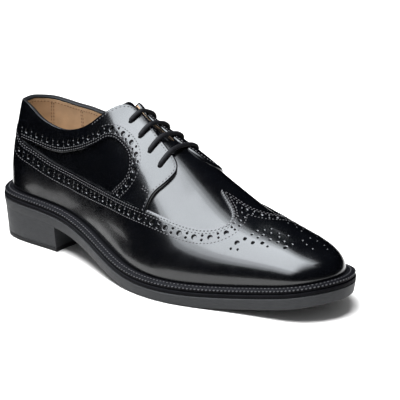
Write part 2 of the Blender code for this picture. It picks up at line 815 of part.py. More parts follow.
wall_grid = wall_places()
overlay_lift = WALL + OVERLAY_GAP
make_outsole(sole_rubber)
make_heel(sole_rubber, lift_rubber)
make_welt(welt_leather)
make_insole(lining_leather)
make_upper(wall_grid, black_leather)
make_tongue(black_leather)
make_panel("wing_cap", [wing_loop()], wall_grid, overlay_leather, overlay_lift, OVERLAY)
for side in ("lateral", "medial"):
    facing = [facing_loop(side), *eyelet_loops(side)]
    make_panel(f"facing_{side}", facing, wall_grid, overlay_leather, overlay_lift, OVERLAY)
make_heel_strip(overlay_leather)
make_lace_bars(lace_cotton)
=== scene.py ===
"""Looks of the wingtip shoe: leather panels, broguing, seams, lace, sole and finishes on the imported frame.

Sizes are in millimetres until the meshes are made. x runs from the back of the sole to the toe, y points to
the inner (medial) side and z is up from the floor. On the wall of the upper a place is (u, across). u is the
x at which its section meets the feather line, straightened out round the heel. across is the distance from
the ridge along the wall, lateral negative.
"""

import math

import bmesh
import bpy
import numpy as np
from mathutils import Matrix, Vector
from mathutils.geometry import delaunay_2d_cdt
from mathutils.kdtree import KDTree


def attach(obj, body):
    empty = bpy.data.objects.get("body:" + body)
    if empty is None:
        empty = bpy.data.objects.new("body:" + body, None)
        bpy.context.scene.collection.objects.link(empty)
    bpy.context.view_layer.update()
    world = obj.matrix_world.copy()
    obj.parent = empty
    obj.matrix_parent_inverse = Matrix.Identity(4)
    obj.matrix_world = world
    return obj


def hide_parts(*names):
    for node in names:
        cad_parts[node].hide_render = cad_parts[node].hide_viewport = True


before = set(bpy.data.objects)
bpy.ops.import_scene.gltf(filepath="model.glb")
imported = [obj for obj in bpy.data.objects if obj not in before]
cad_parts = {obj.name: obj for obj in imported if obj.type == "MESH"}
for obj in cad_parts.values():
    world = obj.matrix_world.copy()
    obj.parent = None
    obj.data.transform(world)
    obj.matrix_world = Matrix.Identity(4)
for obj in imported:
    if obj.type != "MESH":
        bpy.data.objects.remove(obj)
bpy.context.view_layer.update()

MM = 0.001
SIDES = {"lateral": -1, "medial": 1}

# Camera, floor and light. Azimuth 0 is the lateral side.
IMAGE_PIXELS = 400
FOCAL_PIXELS = 2130.0
SENSOR = 36.0
CAMERA_TARGET = (178.6, 0.0, 55.0)
CAMERA_AZIMUTH = 42.09
CAMERA_ELEVATION = 17.68
CAMERA_DISTANCE = 1428.5
FLOOR_SIZE = 12000.0
# Panels of the softbox overhead, dimmer toward its border, seen only as reflections
SOFTBOX = [
    # x and y of the middle, width, length, radiance
    (-300.0, -700.0, 1400.0, 1460.0, 9.6),
    (460.0, -700.0, 120.0, 1460.0, 7.6),
    (580.0, -700.0, 120.0, 1460.0, 4.8),
    (700.0, -700.0, 120.0, 1460.0, 2.2),
    (820.0, -700.0, 120.0, 1460.0, 0.7),
    (-195.0, 95.0, 1617.0, 130.0, 6.0),
    (-195.0, 225.0, 1617.0, 130.0, 2.5),
    (-150.0, -1761.0, 900.0, 660.0, 6.0),
    (370.0, -1761.0, 140.0, 660.0, 4.6),
    (510.0, -1761.0, 140.0, 660.0, 2.8),
    (650.0, -1761.0, 140.0, 660.0, 1.1),
    (-200.0, -2476.0, 800.0, 770.0, 3.4),
    (300.0, -2476.0, 200.0, 770.0, 2.2),
    (500.0, -2476.0, 200.0, 770.0, 0.9),
    (-650.0, 700.0, 500.0, 500.0, 1.5),
]
SOFTBOX_HEIGHT = 1100.0
SOFTBOX_COLOUR = (0.90, 0.95, 1.0)
# Key light above the lateral side, for the floor and the matt parts, not mirrored
KEY_PLACE = (200.0, -500.0, 1700.0)
KEY_SIZE = 1200.0
KEY_RADIANCE = 24.0
WORLD_LIGHT = 0.35
FLOOR_SHADE = 0.75
# Sheets on the floor, seen only as reflections, as plan corners round the shoe
SHEETS = [
    [(-50, -80), (70, -80), (100, -98), (120, -121), (128, -206), (170, -271), (240, -331), (570, -331),
     (570, 330), (-150, 330), (-150, 0), (-50, 0)],
    [(-72, -144), (-29, -144), (-29, -99), (-72, -99)],
]
SHEET_HEIGHT = 0.2
SHEET_SHADE = 0.47

# Sole: plan outline, as half widths each side of the heel axis
SOLE_LENGTH = 301.2
TOE_TIP_Y = 3.3
OUTLINE = [
    # x, lateral, medial
    (4, 14.4, 14.0), (15, 26.6, 26.5), (38, 31.6, 32.2), (75, 32.5, 32.0), (115, 42.0, 30.8),
    (155, 53.0, 38.5), (195, 54.2, 50.5), (235, 41.4, 52.0), (265, 32.9, 44.0), (287, 24.0, 31.5),
]

# Sole: height of its underside, with the heel seat, the arch and the toe spring
UNDERSIDE = [
    # x, z
    (-20, 22.2), (0, 21.4), (35, 20.2), (70, 18.1), (110, 11.2), (150, 1.6), (190, -0.6), (225, 0.9),
    (255, 4.6), (285, 10.2), (305, 14.6),
]
SOLE_THICKNESS = 8.0
SOLE_UNDERCUT = 1.2
SEAT_GAP = 0.3

# Heel
HEEL_BREAST_X = 69.0
HEEL_BREAST_HOLLOW = 3.0
HEEL_BREAST_REACH = 12.0
HEEL_TAPER = 1.6
LIFT_THICKNESS = 3.0
LIFT_TAPER = 0.4

# Rounded edges of the sole's pieces, from their lower to their upper face. The insets of OUTSOLE_LOW and
# HEEL_HIGH count from the undercut, those of HEEL_LOW and LIFT_EDGE from the foot of the heel.
OUTSOLE_LOW = [
    # inset, height above the underside
    (1.4, 0.0), (0.3, 0.35), (-0.1, 1.3),
]
OUTSOLE_HIGH = [
    # inset, depth below the sole's top
    (0.3, 2.0), (0.15, 0.5), (0.6, 0.0),
]
HEEL_LOW = [
    # inset, height above the lift
    (0.35, 0.1), (0.0, 0.5),
]
HEEL_HIGH = [
    # inset, height above the underside
    (0.0, 0.0), (-0.12, 1.3),
]
LIFT_EDGE = [
    # inset, height
    (LIFT_TAPER + 0.4, 0.0), (LIFT_TAPER, 0.4), (0.0, LIFT_THICKNESS - 0.3), (0.3, LIFT_THICKNESS),
]

# Welt: section of the ring, as inset from the sole outline and height above the sole. The ribs stand on the
# lower bead, by their share.
WELT_HEIGHT = 6.2
WELT_SECTION = [
    # inset, height, rib share
    (17.0, 0.3, 0), (0.9, 0.3, 0), (0.35, 0.45, 0.4), (0.15, 0.8, 1), (0.15, 1.4, 1), (0.15, 2.0, 1),
    (0.3, 2.4, 0.5), (0.8, 2.65, 0), (1.6, 2.9, 0), (1.6, 3.2, 0), (0.9, 3.5, 0), (0.65, 4.0, 0),
    (0.65, 4.8, 0), (1.0, 5.5, 0), (1.7, 6.0, 0), (2.6, 6.2, 0), (17.0, 6.2, 0),
]
WELT_STEP = 0.6
RIB_PITCH = 2.3
RIB_HEIGHT = 0.42
RIB_SLANT = 0.5
RIB_LEVEL = 0.6
WELT_SEAMS = [
    # inset, height, outward share of the normal
    (0.75, 5.0, 0.9), (3.6, 6.2, 0.0),
]
WELT_PITCH = 2.7
WELT_STITCH_HALF = (0.85, 0.46, 0.42)

# Last: feather line, spine and sections. Side and crown are the lengths of a section's two handles, as parts
# of its height and half width, and lean tips the lower handle outwards.
FEATHER_INSET = 10.8
FEATHER_GAP = 0.8
HEEL_CENTRE = 38.0
TOE_CENTRE = 248.0
SPINE_SOFTNESS = 12.0
SECTIONS = [
    # x, ridge z, ridge y, side, lateral crown, medial crown, lean
    (38, 150.0, 0.0, 0.30, 0.62, 0.62, 0.02),
    (80, 142.0, 0.5, 0.30, 0.66, 0.70, -0.06),
    (115, 110.5, 0.5, 0.32, 0.69, 0.79, -0.10),
    (150, 93.6, -2.5, 0.36, 0.68, 0.84, -0.05),
    (185, 72.6, 2.5, 0.42, 0.62, 0.74, 0.00),
    (220, 52.4, 6.0, 0.47, 0.69, 0.66, 0.04),
    (248, 45.2, 6.0, 0.50, 0.73, 0.61, 0.06),
]
# side, lateral crown, medial crown, lean straight ahead at the toe and straight back at the heel
TOE_END = (0.48, 0.66, 0.62, 0.09)
HEEL_END = (0.21, 0.26, 0.26, 0.16)

# Upper: heights of its layers above the last, and its opening. FLAP_LIFT raises a facing's front, SLOT_RISE
# its edge along the slot.
LINING_TOP = 0.9
WALL_TOP = 2.3
PANEL_FOOT = WALL_TOP - 0.3
FACING_TOP = 3.8
WING_TOP = 4.2
FLAP_LIFT = {"lateral": 1.5, "medial": 0.3}
SLOT_RISE = {"lateral": 0.8, "medial": -0.8}
SLOT_RISE_WIDTH = 12.0
SLOT_RISE_FROM = 114.0
FLAP_FROM = 150.0
FLAP_TO = 172.0
EDGE_SETBACK = 1.0
LINING_SETBACK = 1.6
OPENING = [
    # x, lateral across, medial across
    (11, 56.0, 56.0), (18, 55.8, 58.0), (34, 57.6, 60.6), (46, 63.0, 61.6), (57, 65.6, 61.2),
    (67, 65.0, 60.0), (77, 60.0, 55.6), (87, 50.2, 46.5), (96, 37.8, 35.0), (103, 25.6, 23.6),
    (108, 16.8, 15.4), (112, 10.2, 9.2), (116, 5.2, 4.9), (121, 2.6, 2.6), (128, 1.6, 1.6),
    (137, 3.2, 1.8), (146, 5.7, 2.0), (156, 8.8, 2.4), (163, 11.0, 3.0),
]
WALL_SLOT_ROUND = 150.0
WALL_SLOT_END = 156.0

# Long wing: height of its top edge above the feather, then the scallops and the peak on the vamp
WING_EDGE = [
    # x, lateral height, medial height
    (11, 47.5, 47.5), (18.6, 44.5, 44.5), (26.3, 38.0, 38.5), (38, 34.2, 34.5), (58, 29.3, 29.5),
    (80, 27.6, 28.0), (103, 29.0, 28.5), (128, 34.0, 31.0), (150, 38.4, 34.0), (169, 39.3, 36.0),
    (185, 37.2, 36.5), (198, 34.6, 35.5),
]
WING_KNOTS = (184.0, 191.5)
WING_LATERAL_SCALLOP = [
    # x, across
    (205, -37.3), (211, -33.0), (215.5, -28.2), (218.3, -22.8), (217.5, -18.0), (214.5, -14.0),
    (209, -10.8), (203.5, -8.5), (197.6, -5.6),
]
WING_MEDIAL_SCALLOP = [
    # x, across
    (197.6, -5.6), (203, -3.0), (210, -1.4), (216, -0.2), (221.5, 2.0), (227, 5.6), (230.5, 10.8),
    (230.5, 17.0), (226.5, 22.0), (219, 25.5), (208, 29.0),
]

# Facings: front lobe over the vamp, and inner edge of the eyestay and collar band
FACING_LOBES = {
    # x, across from the slot corner down to the wing
    "lateral": [
        (163, -11.0), (167.3, -12.4), (170.6, -14.6), (172.6, -17.6), (172.9, -22.3), (171.4, -28.6),
        (168.8, -34.8), (166.8, -40.2), (165.8, -46.0), (165.3, -52.0),
    ],
    "medial": [
        (163, 3.0), (170, 3.6), (176, 5.2), (179.6, 8.6), (180.6, 13.4), (179.0, 20.0), (176.0, 27.0),
        (173.6, 33.0), (172.4, 39.0), (172.0, 46.0),
    ],
}
FACING_BAND = [
    # x, across, from the wing edge up round the eyestay and back under the collar
    (129.0, 56.4), (135.1, 48.6), (139.3, 43.0), (141.3, 37.5), (140.4, 32.6), (138.0, 28.9),
    (133.5, 26.6), (127.0, 25.9), (119.5, 27.2), (113.8, 30.9), (108.3, 37.9), (98.8, 50.9), (88.5, 63.9),
    (78.5, 74.0), (68.0, 80.9), (58.2, 83.2), (48.2, 83.0), (37.7, 82.0), (27.0, 81.6),
]
PANEL_TUCK = 2.0
STRAIGHT_X = 90.0

# Rolled collar binding: half height and half depth of its bead, and of its ends in the facings' tops
BINDING_HALF = (1.8, 0.8)
BINDING_MIDDLE = 1.75
BINDING_END = (0.6, 0.2)
BINDING_DROP = 0.6
BINDING_SIDES = 14
BINDING_FADE = (96.0, 110.0)

# Lining: a row under the collar, and pairs of rows down the quarters
LINING_ROW = 3.6
LINING_ROW_END = 100.0
LINING_SEAMS = (20.0, 48.0)
LINING_PAIR = (-0.8, 0.8)
LINING_SEAM_LENGTH = 45.0
LINING_PITCH = 2.6

# Heel strip: the small sewn oval low at the back, with its middle measured up from the feather
STRIP_HALF_WIDTH = 4.0
STRIP_MIDDLE = 12.5
STRIP_HALF_HEIGHT = 8.0
STRIP_TOP = 5.2
STRIP_SIDES = 40
STRIP_RINGS = [
    # share of the oval, height above the last
    (1.0, WING_TOP - 0.2), (1.0, STRIP_TOP - 0.45), (0.93, STRIP_TOP - 0.1), (0.8, STRIP_TOP),
    (0.55, STRIP_TOP), (0.3, STRIP_TOP), (0.02, STRIP_TOP),
]
STRIP_SEAM = 0.72
STRIP_STITCH_HALF = (0.5, 0.26, 0.25)

# Tongue, with the powers that thin its sides and its top, and insole
TONGUE_FRONT_X = 167.0
TONGUE_TOP_X = 107.0
TONGUE_TOP_DIP = 5.5
TONGUE_FLATTER = 0.8
TONGUE_HALF_FRONT = 17.0
TONGUE_HALF_TOP = 26.0
TONGUE_THICKNESS = 2.0
TONGUE_GAP = 0.3
TONGUE_SOFT = (24, 60)
TONGUE_GRID = (60, 41)
INSOLE_THICKNESS = 3.0
INSOLE_MARGIN = 0.9
INSOLE_EDGE = [
    # inset, height above the welt
    (0.0, 0.0), (0.0, INSOLE_THICKNESS - 0.6), (0.5, INSOLE_THICKNESS),
]

# Lace: its half sizes, its bend down into the eyelets, and its weave. It stops at LACE_END above the last
# and is straight up to LACE_NECK. LACE_EDGE is how far from the slot's edge its height is set.
EYELETS = [
    # x, lateral across, medial across
    (126.2, -10.6, 10.2), (139.4, -13.8, 11.2), (151.4, -17.8, 12.4), (162.6, -21.6, 13.6),
]
EYELET_RADIUS = 1.6
LACE_HALF_WIDTH = 1.7
LACE_HALF_HEIGHT = 1.25
LACE_END = -1.2
LACE_NECK = 2.0
LACE_BEND = {
    # distance from the eyelet, depth below the bar
    "lateral": [(0.6, 0.7), (2.4, 0.1)],
    "medial": [(0.6, 0.8), (2.4, 0.3)],
}
LACE_EDGE = 1.0
LACE_UP = (0.45, 0.0, 1.0)
LACE_STEP = 0.35
LACE_SIDES = 24
WEAVE_PITCH = 1.5
WEAVE_STRANDS = 4
WEAVE_HEIGHT = 0.09

# Broguing: large holes with a pair of small ones between, and the figures of the toe and the peak
LARGE_HOLE = 1.75
MEDIUM_HOLE = 1.3
SMALL_HOLE = 0.8
HOLE_SIDES = 14
HOLE_CLEAR = 0.35
HOLE_RING_CLEAR = 0.2
HOLE_EDGE = (0.35, 0.4, 0.0)
HOLE_PITCH = 10.8
PAIR_SPREAD = 1.45
WING_BAND = [
    # x, holes below the edge, lower seam below the edge
    (10, 7.4, 11.8), (90, 7.2, 11.4), (130, 6.0, 9.3), (185, 5.8, 9.0), (230, 5.6, 9.6),
]
COLLAR_BAND = [
    # x, holes inside the band's edge
    (10, 6.6), (95, 6.0), (120, 5.6), (145, 5.5),
]
EYESTAY_SEAM = 8.8
EYESTAY_SEAM_FROM = 106.0
MEDALLION_AXIS = 6.0
MEDALLION = [
    # x, distance from the axis, radius
    (232.4, 29.8, LARGE_HOLE), (230.7, 33.9, SMALL_HOLE), (235.1, 32.3, SMALL_HOLE),
    (235.4, 25.3, MEDIUM_HOLE), (241.7, 24.8, MEDIUM_HOLE), (247.4, 21.9, MEDIUM_HOLE),
    (252.1, 22.3, SMALL_HOLE), (263.0, 17.3, MEDIUM_HOLE), (237.2, 20.4, SMALL_HOLE),
    (238.0, 16.3, SMALL_HOLE), (240.9, 12.7, SMALL_HOLE), (243.2, 8.5, SMALL_HOLE),
    (243.5, 16.9, SMALL_HOLE), (242.2, 20.2, SMALL_HOLE), (250.0, 17.5, SMALL_HOLE),
    (255.9, 16.6, SMALL_HOLE), (258.7, 13.8, SMALL_HOLE), (246.1, 12.3, SMALL_HOLE),
    (253.0, 12.2, SMALL_HOLE), (250.3, 8.9, SMALL_HOLE), (256.1, 6.7, SMALL_HOLE),
    (264.4, 12.6, SMALL_HOLE), (265.8, 4.0, SMALL_HOLE), (270.4, 5.5, SMALL_HOLE),
    (263.6, 0.5, SMALL_HOLE), (275.8, 6.1, SMALL_HOLE), (280.0, 4.1, SMALL_HOLE),
]
PEAK_HOLES = [
    # x, across
    (210.2, -6.1), (212.8, -9.8), (215.4, -6.8), (213.8, -3.4), (218.5, -10.0), (219.0, -14.6),
    (223.2, -11.9), (223.2, -16.0), (221.1, -19.9), (225.8, -19.1),
]

# Seams: stitch size, rows inside an edge, and the cut zigzag of the wing's edge. STITCH_RINGS are places
# along the half length with shares of the half width.
STITCH_PITCH = 2.4
STITCH_HALF = (0.75, 0.36, 0.32)
STITCH_TURN = math.radians(10)
STITCH_SIDES = 6
STITCH_RINGS = ((-0.7, 0.75), (0.0, 1.0), (0.7, 0.75))
STITCH_SINK = 0.4
DOUBLE_ROW = (1.2, 2.9)
SINGLE_ROW = 1.8
TACK_PLACES = [
    # x, across of the bar tacks where the facings' fronts are sewn down
    (157.3, 38.4), (157.3, 40.2),
]
TACK_LENGTH = 9.0
PINK_PITCH = 2.2
PINK_DEPTH = 0.3
# Rounded edges: slope at the very edge, width of the rounding, and how far the cut side shades like the top
COLLAR_EDGE = (0.1, 4.0, 0.0)
SLOT_EDGE = (0.8, 1.0, 0.0)
BAND_EDGE = (0.2, 1.5, 4.0)
WING_EDGE_ROUND = (0.2, 2.5, 4.0)
HIDDEN_EDGE = (0.0, 1.0, 0.0)

# Creases: soft troughs across the vamp where it bends
CREASES = [
    # x at the ridge, lateral end, medial end, forward bow of the ends, depth, width
    (186.0, -42.0, 38.0, 5.0, 0.16, 8.0),
]

# Mesh spacing, searches and tolerances
LINE_STEP = 0.5
EDGE_STEP = 1.0
BACK_STEPS = 40
CREASE_STEPS = 161
PINK_STEP = 0.55
FILL_STEP = 2.1
FILL_CELL = 1.5
FILL_CLEAR = 0.8
FILL_RIDGE = 0.4
RING_CLEAR = 0.28
RING_INSETS = (0.35, 0.9)
SHELL_STEP = 2.4
SHELL_ROWS = 44
SHELL_CLOSE_FROM = 98.0
SHELL_CLOSE_STEP = 1.0
SHELL_CLEAR = 0.6
SOLE_STEP = 3.0
STRIPS_ACROSS = 8
TOE_FROM = 205.0
TOE_HALF = 60.0
TOE_GRID = (60, 61)
TOE_TRIES = 8
CHUNK = 6000
PROBE = 0.02
OFFSET_STEP = 2.0
OFFSET_KEPT = 0.96
FINE_STEPS = 4001
SECTION_T = np.linspace(0, 1, 97)
NEAR_RIDGE_T = 0.995
SLOPE_STEP = 2e-4
MERGE = 0.02
PATTERN_CLOSE = 1e-6
TINY = 1e-9
SMOOTH_ANGLE = math.radians(40)

# Finishes: colour, roughness and specular level, then tint, varied roughness, rows of relief and coat. Tint
# and varied roughness are the size of their noise and its range, and a tint may have a stretch. Relief is
# size, height, detail, stretch and whether it is in the coat too. Coat is weight and roughness.
NOISE_RANGE = (0.3, 0.7)
BLACK = (0.0010, 0.0012, 0.0018)
POLISH_RELIEF = [(11.0, 0.02, 1.0, None, True), (0.6, 0.004, 2.0)]
POLISH_COAT = (0.5, 0.09)
POLISH = (0.2, 0.5, (14.0, 0.75, 1.25), (9.0, 0.16, 0.24), POLISH_RELIEF, POLISH_COAT)
TWIST = ((1.6, 0.75, 1.2), None, [(0.25, 0.03)])
PAPER = (0.9, 0.5, (900.0, 0.99, 1.01), None, [(2.0, 0.01)])
FINISHES = {
    "polished vamp leather": (BLACK, *POLISH),
    "polished overlay leather": (BLACK, *POLISH),
    "matt binding leather": (
        (0.004, 0.0042, 0.005), 0.55, 0.2, (7.0, 0.75, 1.25), (5.0, 0.5, 0.65), [(0.7, 0.02)]),
    "tan lining leather": (
        (0.42, 0.28, 0.165), 0.55, 0.5, (11.0, 0.85, 1.12), (6.0, 0.45, 0.65), [(0.9, 0.04)]),
    "satin sole edge": (
        (0.027, 0.028, 0.030), 0.45, 0.12, (4.0, 0.85, 1.15, (1, 1, 6)), (5.0, 0.4, 0.52),
        [(0.8, 0.02, 3.0, (1, 1, 3))]),
    "heel lift rubber": ((0.008, 0.008, 0.009), 0.6, 0.2, (3.0, 0.8, 1.2), None, [(0.5, 0.03)]),
    "welt leather": (
        (0.003, 0.003, 0.004), 0.5, 0.05, (5.0, 0.8, 1.25), (4.0, 0.42, 0.58), [(0.7, 0.02)]),
    "waxed lace": (
        (0.005, 0.005, 0.006), 0.45, 0.09, (1.2, 0.7, 1.3), (1.0, 0.38, 0.55), [(0.35, 0.04)]),
    "black thread": ((0.075, 0.075, 0.08), 0.7, 0.1, *TWIST),
    "waxed welt thread": ((0.03, 0.03, 0.033), 0.3, 0.5, *TWIST),
    "tan thread": ((0.16, 0.10, 0.06), 0.7, 0.1, *TWIST),
    "pale floor": ((FLOOR_SHADE, FLOOR_SHADE, FLOOR_SHADE), *PAPER),
    "mirrored sheet": ((SHEET_SHADE, SHEET_SHADE, SHEET_SHADE), *PAPER),
}


# Vectors and lines

def run_length(points):
    """Length of a line of points up to each of them."""
    return np.concatenate([[0], np.cumsum(np.linalg.norm(np.diff(points, axis=0), axis=1))])


def unit(vectors):
    return vectors / np.maximum(np.linalg.norm(vectors, axis=-1, keepdims=True), TINY)


def dots(a, b):
    return np.einsum("ij,ij->i", a, b)


def read_along(line, length, at):
    """A line's columns at some lengths along it."""
    return np.stack([np.interp(at, length, column) for column in line.T], -1)


def circle(sides):
    """Angles of the corners of a round with that many sides."""
    return np.linspace(0, 2 * math.pi, sides, endpoint=False)


# Shape of the last

def spline(xs, ys):
    """Natural cubic spline through (xs, ys), as a function that gives its value or its slope."""
    xs = np.asarray(xs, float)
    ys = np.asarray(ys, float)
    step = np.diff(xs)
    matrix = np.eye(len(xs))
    right = np.zeros_like(ys)
    for i in range(1, len(xs) - 1):
        matrix[i, i - 1:i + 2] = step[i - 1], 2 * (step[i - 1] + step[i]), step[i]
        right[i] = 6 * ((ys[i + 1] - ys[i]) / step[i] - (ys[i] - ys[i - 1]) / step[i - 1])
    bend = np.linalg.solve(matrix, right)

    def value(x, slope=False):
        x = np.asarray(x, float)
        i = np.clip(np.searchsorted(xs, x) - 1, 0, len(xs) - 2)
        width, left, past = step[i], xs[i + 1] - x, x - xs[i]
        low = ys[i] / width - bend[i] * width / 6
        high = ys[i + 1] / width - bend[i + 1] * width / 6
        if slope:
            return (bend[i + 1] * past ** 2 - bend[i] * left ** 2) / (2 * width) + high - low
        return (bend[i] * left ** 3 + bend[i + 1] * past ** 3) / (6 * width) + low * left + high * past

    return value


def columns(table):
    """Splines of a table's later columns over its first."""
    first, *rest = zip(*table)
    return [spline(first, column) for column in rest]


def curve_through(points, step):
    """Points about step apart on a smooth open curve through the given ones."""
    points = np.asarray(points, float)
    chord = run_length(points)
    at = np.linspace(0, chord[-1], max(2, math.ceil(chord[-1] / step) + 1))
    return np.stack([spline(chord, column)(at) for column in points.T], -1)


def closed_spline(points):
    """Smooth closed plan curve through the points, for a parameter from 0 to 1."""
    points = np.asarray(points, float)
    chord = np.sqrt(np.linalg.norm(np.roll(points, -1, axis=0) - points, axis=1))
    knots = np.concatenate([[0], np.cumsum(chord)]) / chord.sum()
    wrap = 4
    knots = np.concatenate([knots[-1 - wrap:-1] - 1, knots[:-1], knots[:wrap] + 1])
    along = [spline(knots, np.concatenate([c[-wrap:], c, c[:wrap]])) for c in points.T]
    return lambda s: np.stack([part(np.asarray(s) % 1) for part in along], -1)


lateral_side = [(x, -lateral) for x, lateral, medial in OUTLINE]
medial_side = [(x, medial) for x, lateral, medial in reversed(OUTLINE)]
outline = closed_spline([(0, 0)] + lateral_side + [(SOLE_LENGTH, TOE_TIP_Y)] + medial_side)
underside, = columns(UNDERSIDE)
ridge_z, ridge_y, *handles = columns(SECTIONS)
opening = dict(zip(SIDES, columns(OPENING)))
wing_height = dict(zip(SIDES, columns(WING_EDGE)))


def plan(s, inset):
    """Sole outline moved inwards by inset."""
    s = np.asarray(s, float)
    tangent = unit(outline(s + SLOPE_STEP) - outline(s - SLOPE_STEP))
    outwards = np.stack([tangent[..., 1], -tangent[..., 0]], -1)
    return outline(s) - outwards * inset


def level(x, above):
    """Height of the surface that lies above the underside by the given thickness."""
    return underside(x) + above * np.sqrt(1 + underside(x, slope=True) ** 2)


class Rim:
    """The sole outline at one inset, split at its rearmost and foremost points into its two sides."""

    def __init__(self, inset):
        around = np.linspace(-0.5, 0.5, FINE_STEPS)
        x = plan(around, inset)[:, 0]
        back, toe = around[np.argmin(x)], around[np.argmax(x)] % 1
        self.back, self.front = x.min(), x.max()
        self.sides = {}
        for side, start in (("lateral", back), ("medial", back + 1)):
            s = np.linspace(start, toe, FINE_STEPS)
            points = plan(s, inset)
            self.sides[side] = np.maximum.accumulate(points[:, 0]), s, run_length(points)

    def parameter(self, x, side):
        """Outline parameter at x on one side."""
        return np.interp(x, *self.sides[side][:2])

    def stations(self, step):
        """Values of x about step apart along the lateral side, from the rearmost to the foremost point."""
        at, _, length = self.sides["lateral"]
        count = round(length[-1] / step)
        return np.interp(np.linspace(0, length[-1], count + 1), length, at)


outline_points = plan(np.linspace(0, 1, FINE_STEPS), 0.0)
middle = np.append(0.5 * (outline_points.min(0) + outline_points.max(0)), 0.0)
feather = Rim(FEATHER_INSET)
chart = {}
for side_name, (at_x, _, at_length) in feather.sides.items():
    behind = np.interp(STRAIGHT_X, at_x, at_length) - at_length
    chart[side_name] = np.where(at_x < STRAIGHT_X, STRAIGHT_X - behind, at_x)


def model(points):
    """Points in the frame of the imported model, in metres."""
    return (np.asarray(points, float) - middle) * MM


def straight(x, side):
    """u at stations x."""
    return np.interp(x, feather.sides[side][0], chart[side])


def station(u, side):
    """x at u."""
    return np.interp(u, chart[side], feather.sides[side][0])


def soft_clamp(x, low, high, width):
    x = high - width * np.logaddexp(0, (high - x) / width)
    return low + width * np.logaddexp(0, (x - low) / width)


def section(s):
    """Control points of the last's sections, with their foot on the spine and their plan direction."""
    foot = plan(s, FEATHER_INSET)
    foot_z = level(foot[:, 0], SOLE_THICKNESS + WELT_HEIGHT + FEATHER_GAP)
    spine_x = soft_clamp(foot[:, 0], HEEL_CENTRE, TOE_CENTRE, SPINE_SOFTNESS)
    spine = np.stack([spine_x, ridge_y(spine_x)], -1)
    reach = np.linalg.norm(foot - spine, axis=1)
    way = (foot - spine) / reach[:, None]
    to_toe = np.maximum(way[:, 0], 0) ** 2
    to_heel = np.maximum(-way[:, 0], 0) ** 2
    side, crown_lateral, crown_medial, lean = (
        f(spine_x) + to_toe * (toe - f(TOE_CENTRE)) + to_heel * (heel - f(HEEL_CENTRE))
        for f, toe, heel in zip(handles, TOE_END, HEEL_END)
    )
    medial = 0.5 + 0.5 * way[:, 1]
    top = ridge_z(spine_x)
    low_handle = side * (top - foot_z)
    high_handle = ((1 - medial) * crown_lateral + medial * crown_medial) * reach
    high_rise = ridge_z(spine_x, slope=True) * high_handle * way[:, 0]
    controls = np.stack([
        np.c_[foot, foot_z],
        np.c_[foot + way * (lean * low_handle)[:, None], foot_z + low_handle],
        np.c_[spine + way * high_handle[:, None], top + high_rise],
        np.c_[spine, top],
    ], 1)
    return controls, spine, way


def bezier(controls, t):
    t = np.asarray(t)[:, None]
    weights = ((1 - t) ** 3, 3 * t * (1 - t) ** 2, 3 * t * t * (1 - t), t ** 3)
    return sum(controls[:, i] * weight for i, weight in enumerate(weights))


def bezier_slope(controls, t):
    t = np.asarray(t)[:, None]
    weights = ((1 - t) ** 2, 2 * t * (1 - t), t * t)
    return sum((controls[:, i + 1] - controls[:, i]) * weight for i, weight in enumerate(weights))


def arcs(controls):
    """Distance from the ridge along each section, at the steps of SECTION_T."""
    points = np.stack([bezier(controls, np.full(len(controls), t)) for t in SECTION_T], 1)
    steps = np.linalg.norm(np.diff(points, axis=1), axis=2)[:, ::-1]
    from_ridge = np.concatenate([np.zeros((len(controls), 1)), np.cumsum(steps, axis=1)], 1)
    return from_ridge[:, ::-1]


def outline_parameter(places):
    u, across = places[:, 0], places[:, 1]
    lateral, medial = (np.interp(u, chart[side], feather.sides[side][1]) for side in SIDES)
    return np.where(across <= 0, lateral, medial)


def wall_length(u, side):
    """Length of the section from ridge to feather."""
    places = np.stack([np.atleast_1d(u), np.full(np.size(u), SIDES[side])], -1)
    return arcs(section(outline_parameter(places))[0])[:, 0]


def wall_part(places):
    s = outline_parameter(places)
    controls = section(s)[0]
    across = np.abs(places[:, 1])
    t = np.array([np.interp(-a, -d, SECTION_T) for a, d in zip(across, arcs(controls))])
    near = np.minimum(t, NEAR_RIDGE_T)
    along = bezier(section(s + SLOPE_STEP)[0], near) - bezier(section(s - SLOPE_STEP)[0], near)
    return bezier(controls, t), unit(np.cross(along, bezier_slope(controls, near)))


def wall(places):
    """Points on the last at (u, across) places, and its normals there."""
    places = np.asarray(places, float)
    parts = [wall_part(part) for part in np.array_split(places, len(places) // CHUNK + 1)]
    return tuple(np.concatenate(each) for each in zip(*parts))


def pattern(places):
    """Flat pattern of places, open at the back, with its sections fanned out only at the toe."""
    places = np.asarray(places, float)
    _, spine, way = section(outline_parameter(places))
    flat = spine + way * np.abs(places[:, 1])[:, None]
    rear = np.stack([places[:, 0], places[:, 1] + ridge_y(STRAIGHT_X)], -1)
    return np.where(places[:, :1] < STRAIGHT_X, rear, flat)


# Lines on the wall

def moved(places, steps):
    """Places moved along the wall by steps in space."""
    here = wall(places)[0]
    to_u, to_across = ((wall(places + probe)[0] - here) / PROBE for probe in ((PROBE, 0), (0, PROBE)))
    a, b, c = dots(to_u, to_u), dots(to_u, to_across), dots(to_across, to_across)
    p, q = dots(steps, to_u), dots(steps, to_across)
    spread_out = np.maximum(a * c - b * b, TINY)
    return places + np.stack([c * p - b * q, a * q - b * p], -1) / spread_out[:, None]


def nearest(points, targets):
    """Distance to the nearest target, and its index, for each point."""
    tree = KDTree(len(targets))
    for i, target in enumerate(targets):
        tree.insert(target, i)
    tree.balance()
    found = [tree.find(point) for point in points]
    return np.array([hit[2] for hit in found]), np.array([hit[1] for hit in found], int)


def spread(line, step):
    """Places evenly spaced along a line of places, about step apart."""
    length = run_length(wall(line)[0])
    return read_along(line, length, np.linspace(0, length[-1], max(1, round(length[-1] / step)) + 1))


def right_of(line):
    """Direction along the wall to the right of a line of places."""
    points, normals = wall(line)
    return unit(np.cross(np.gradient(points, axis=0), normals))


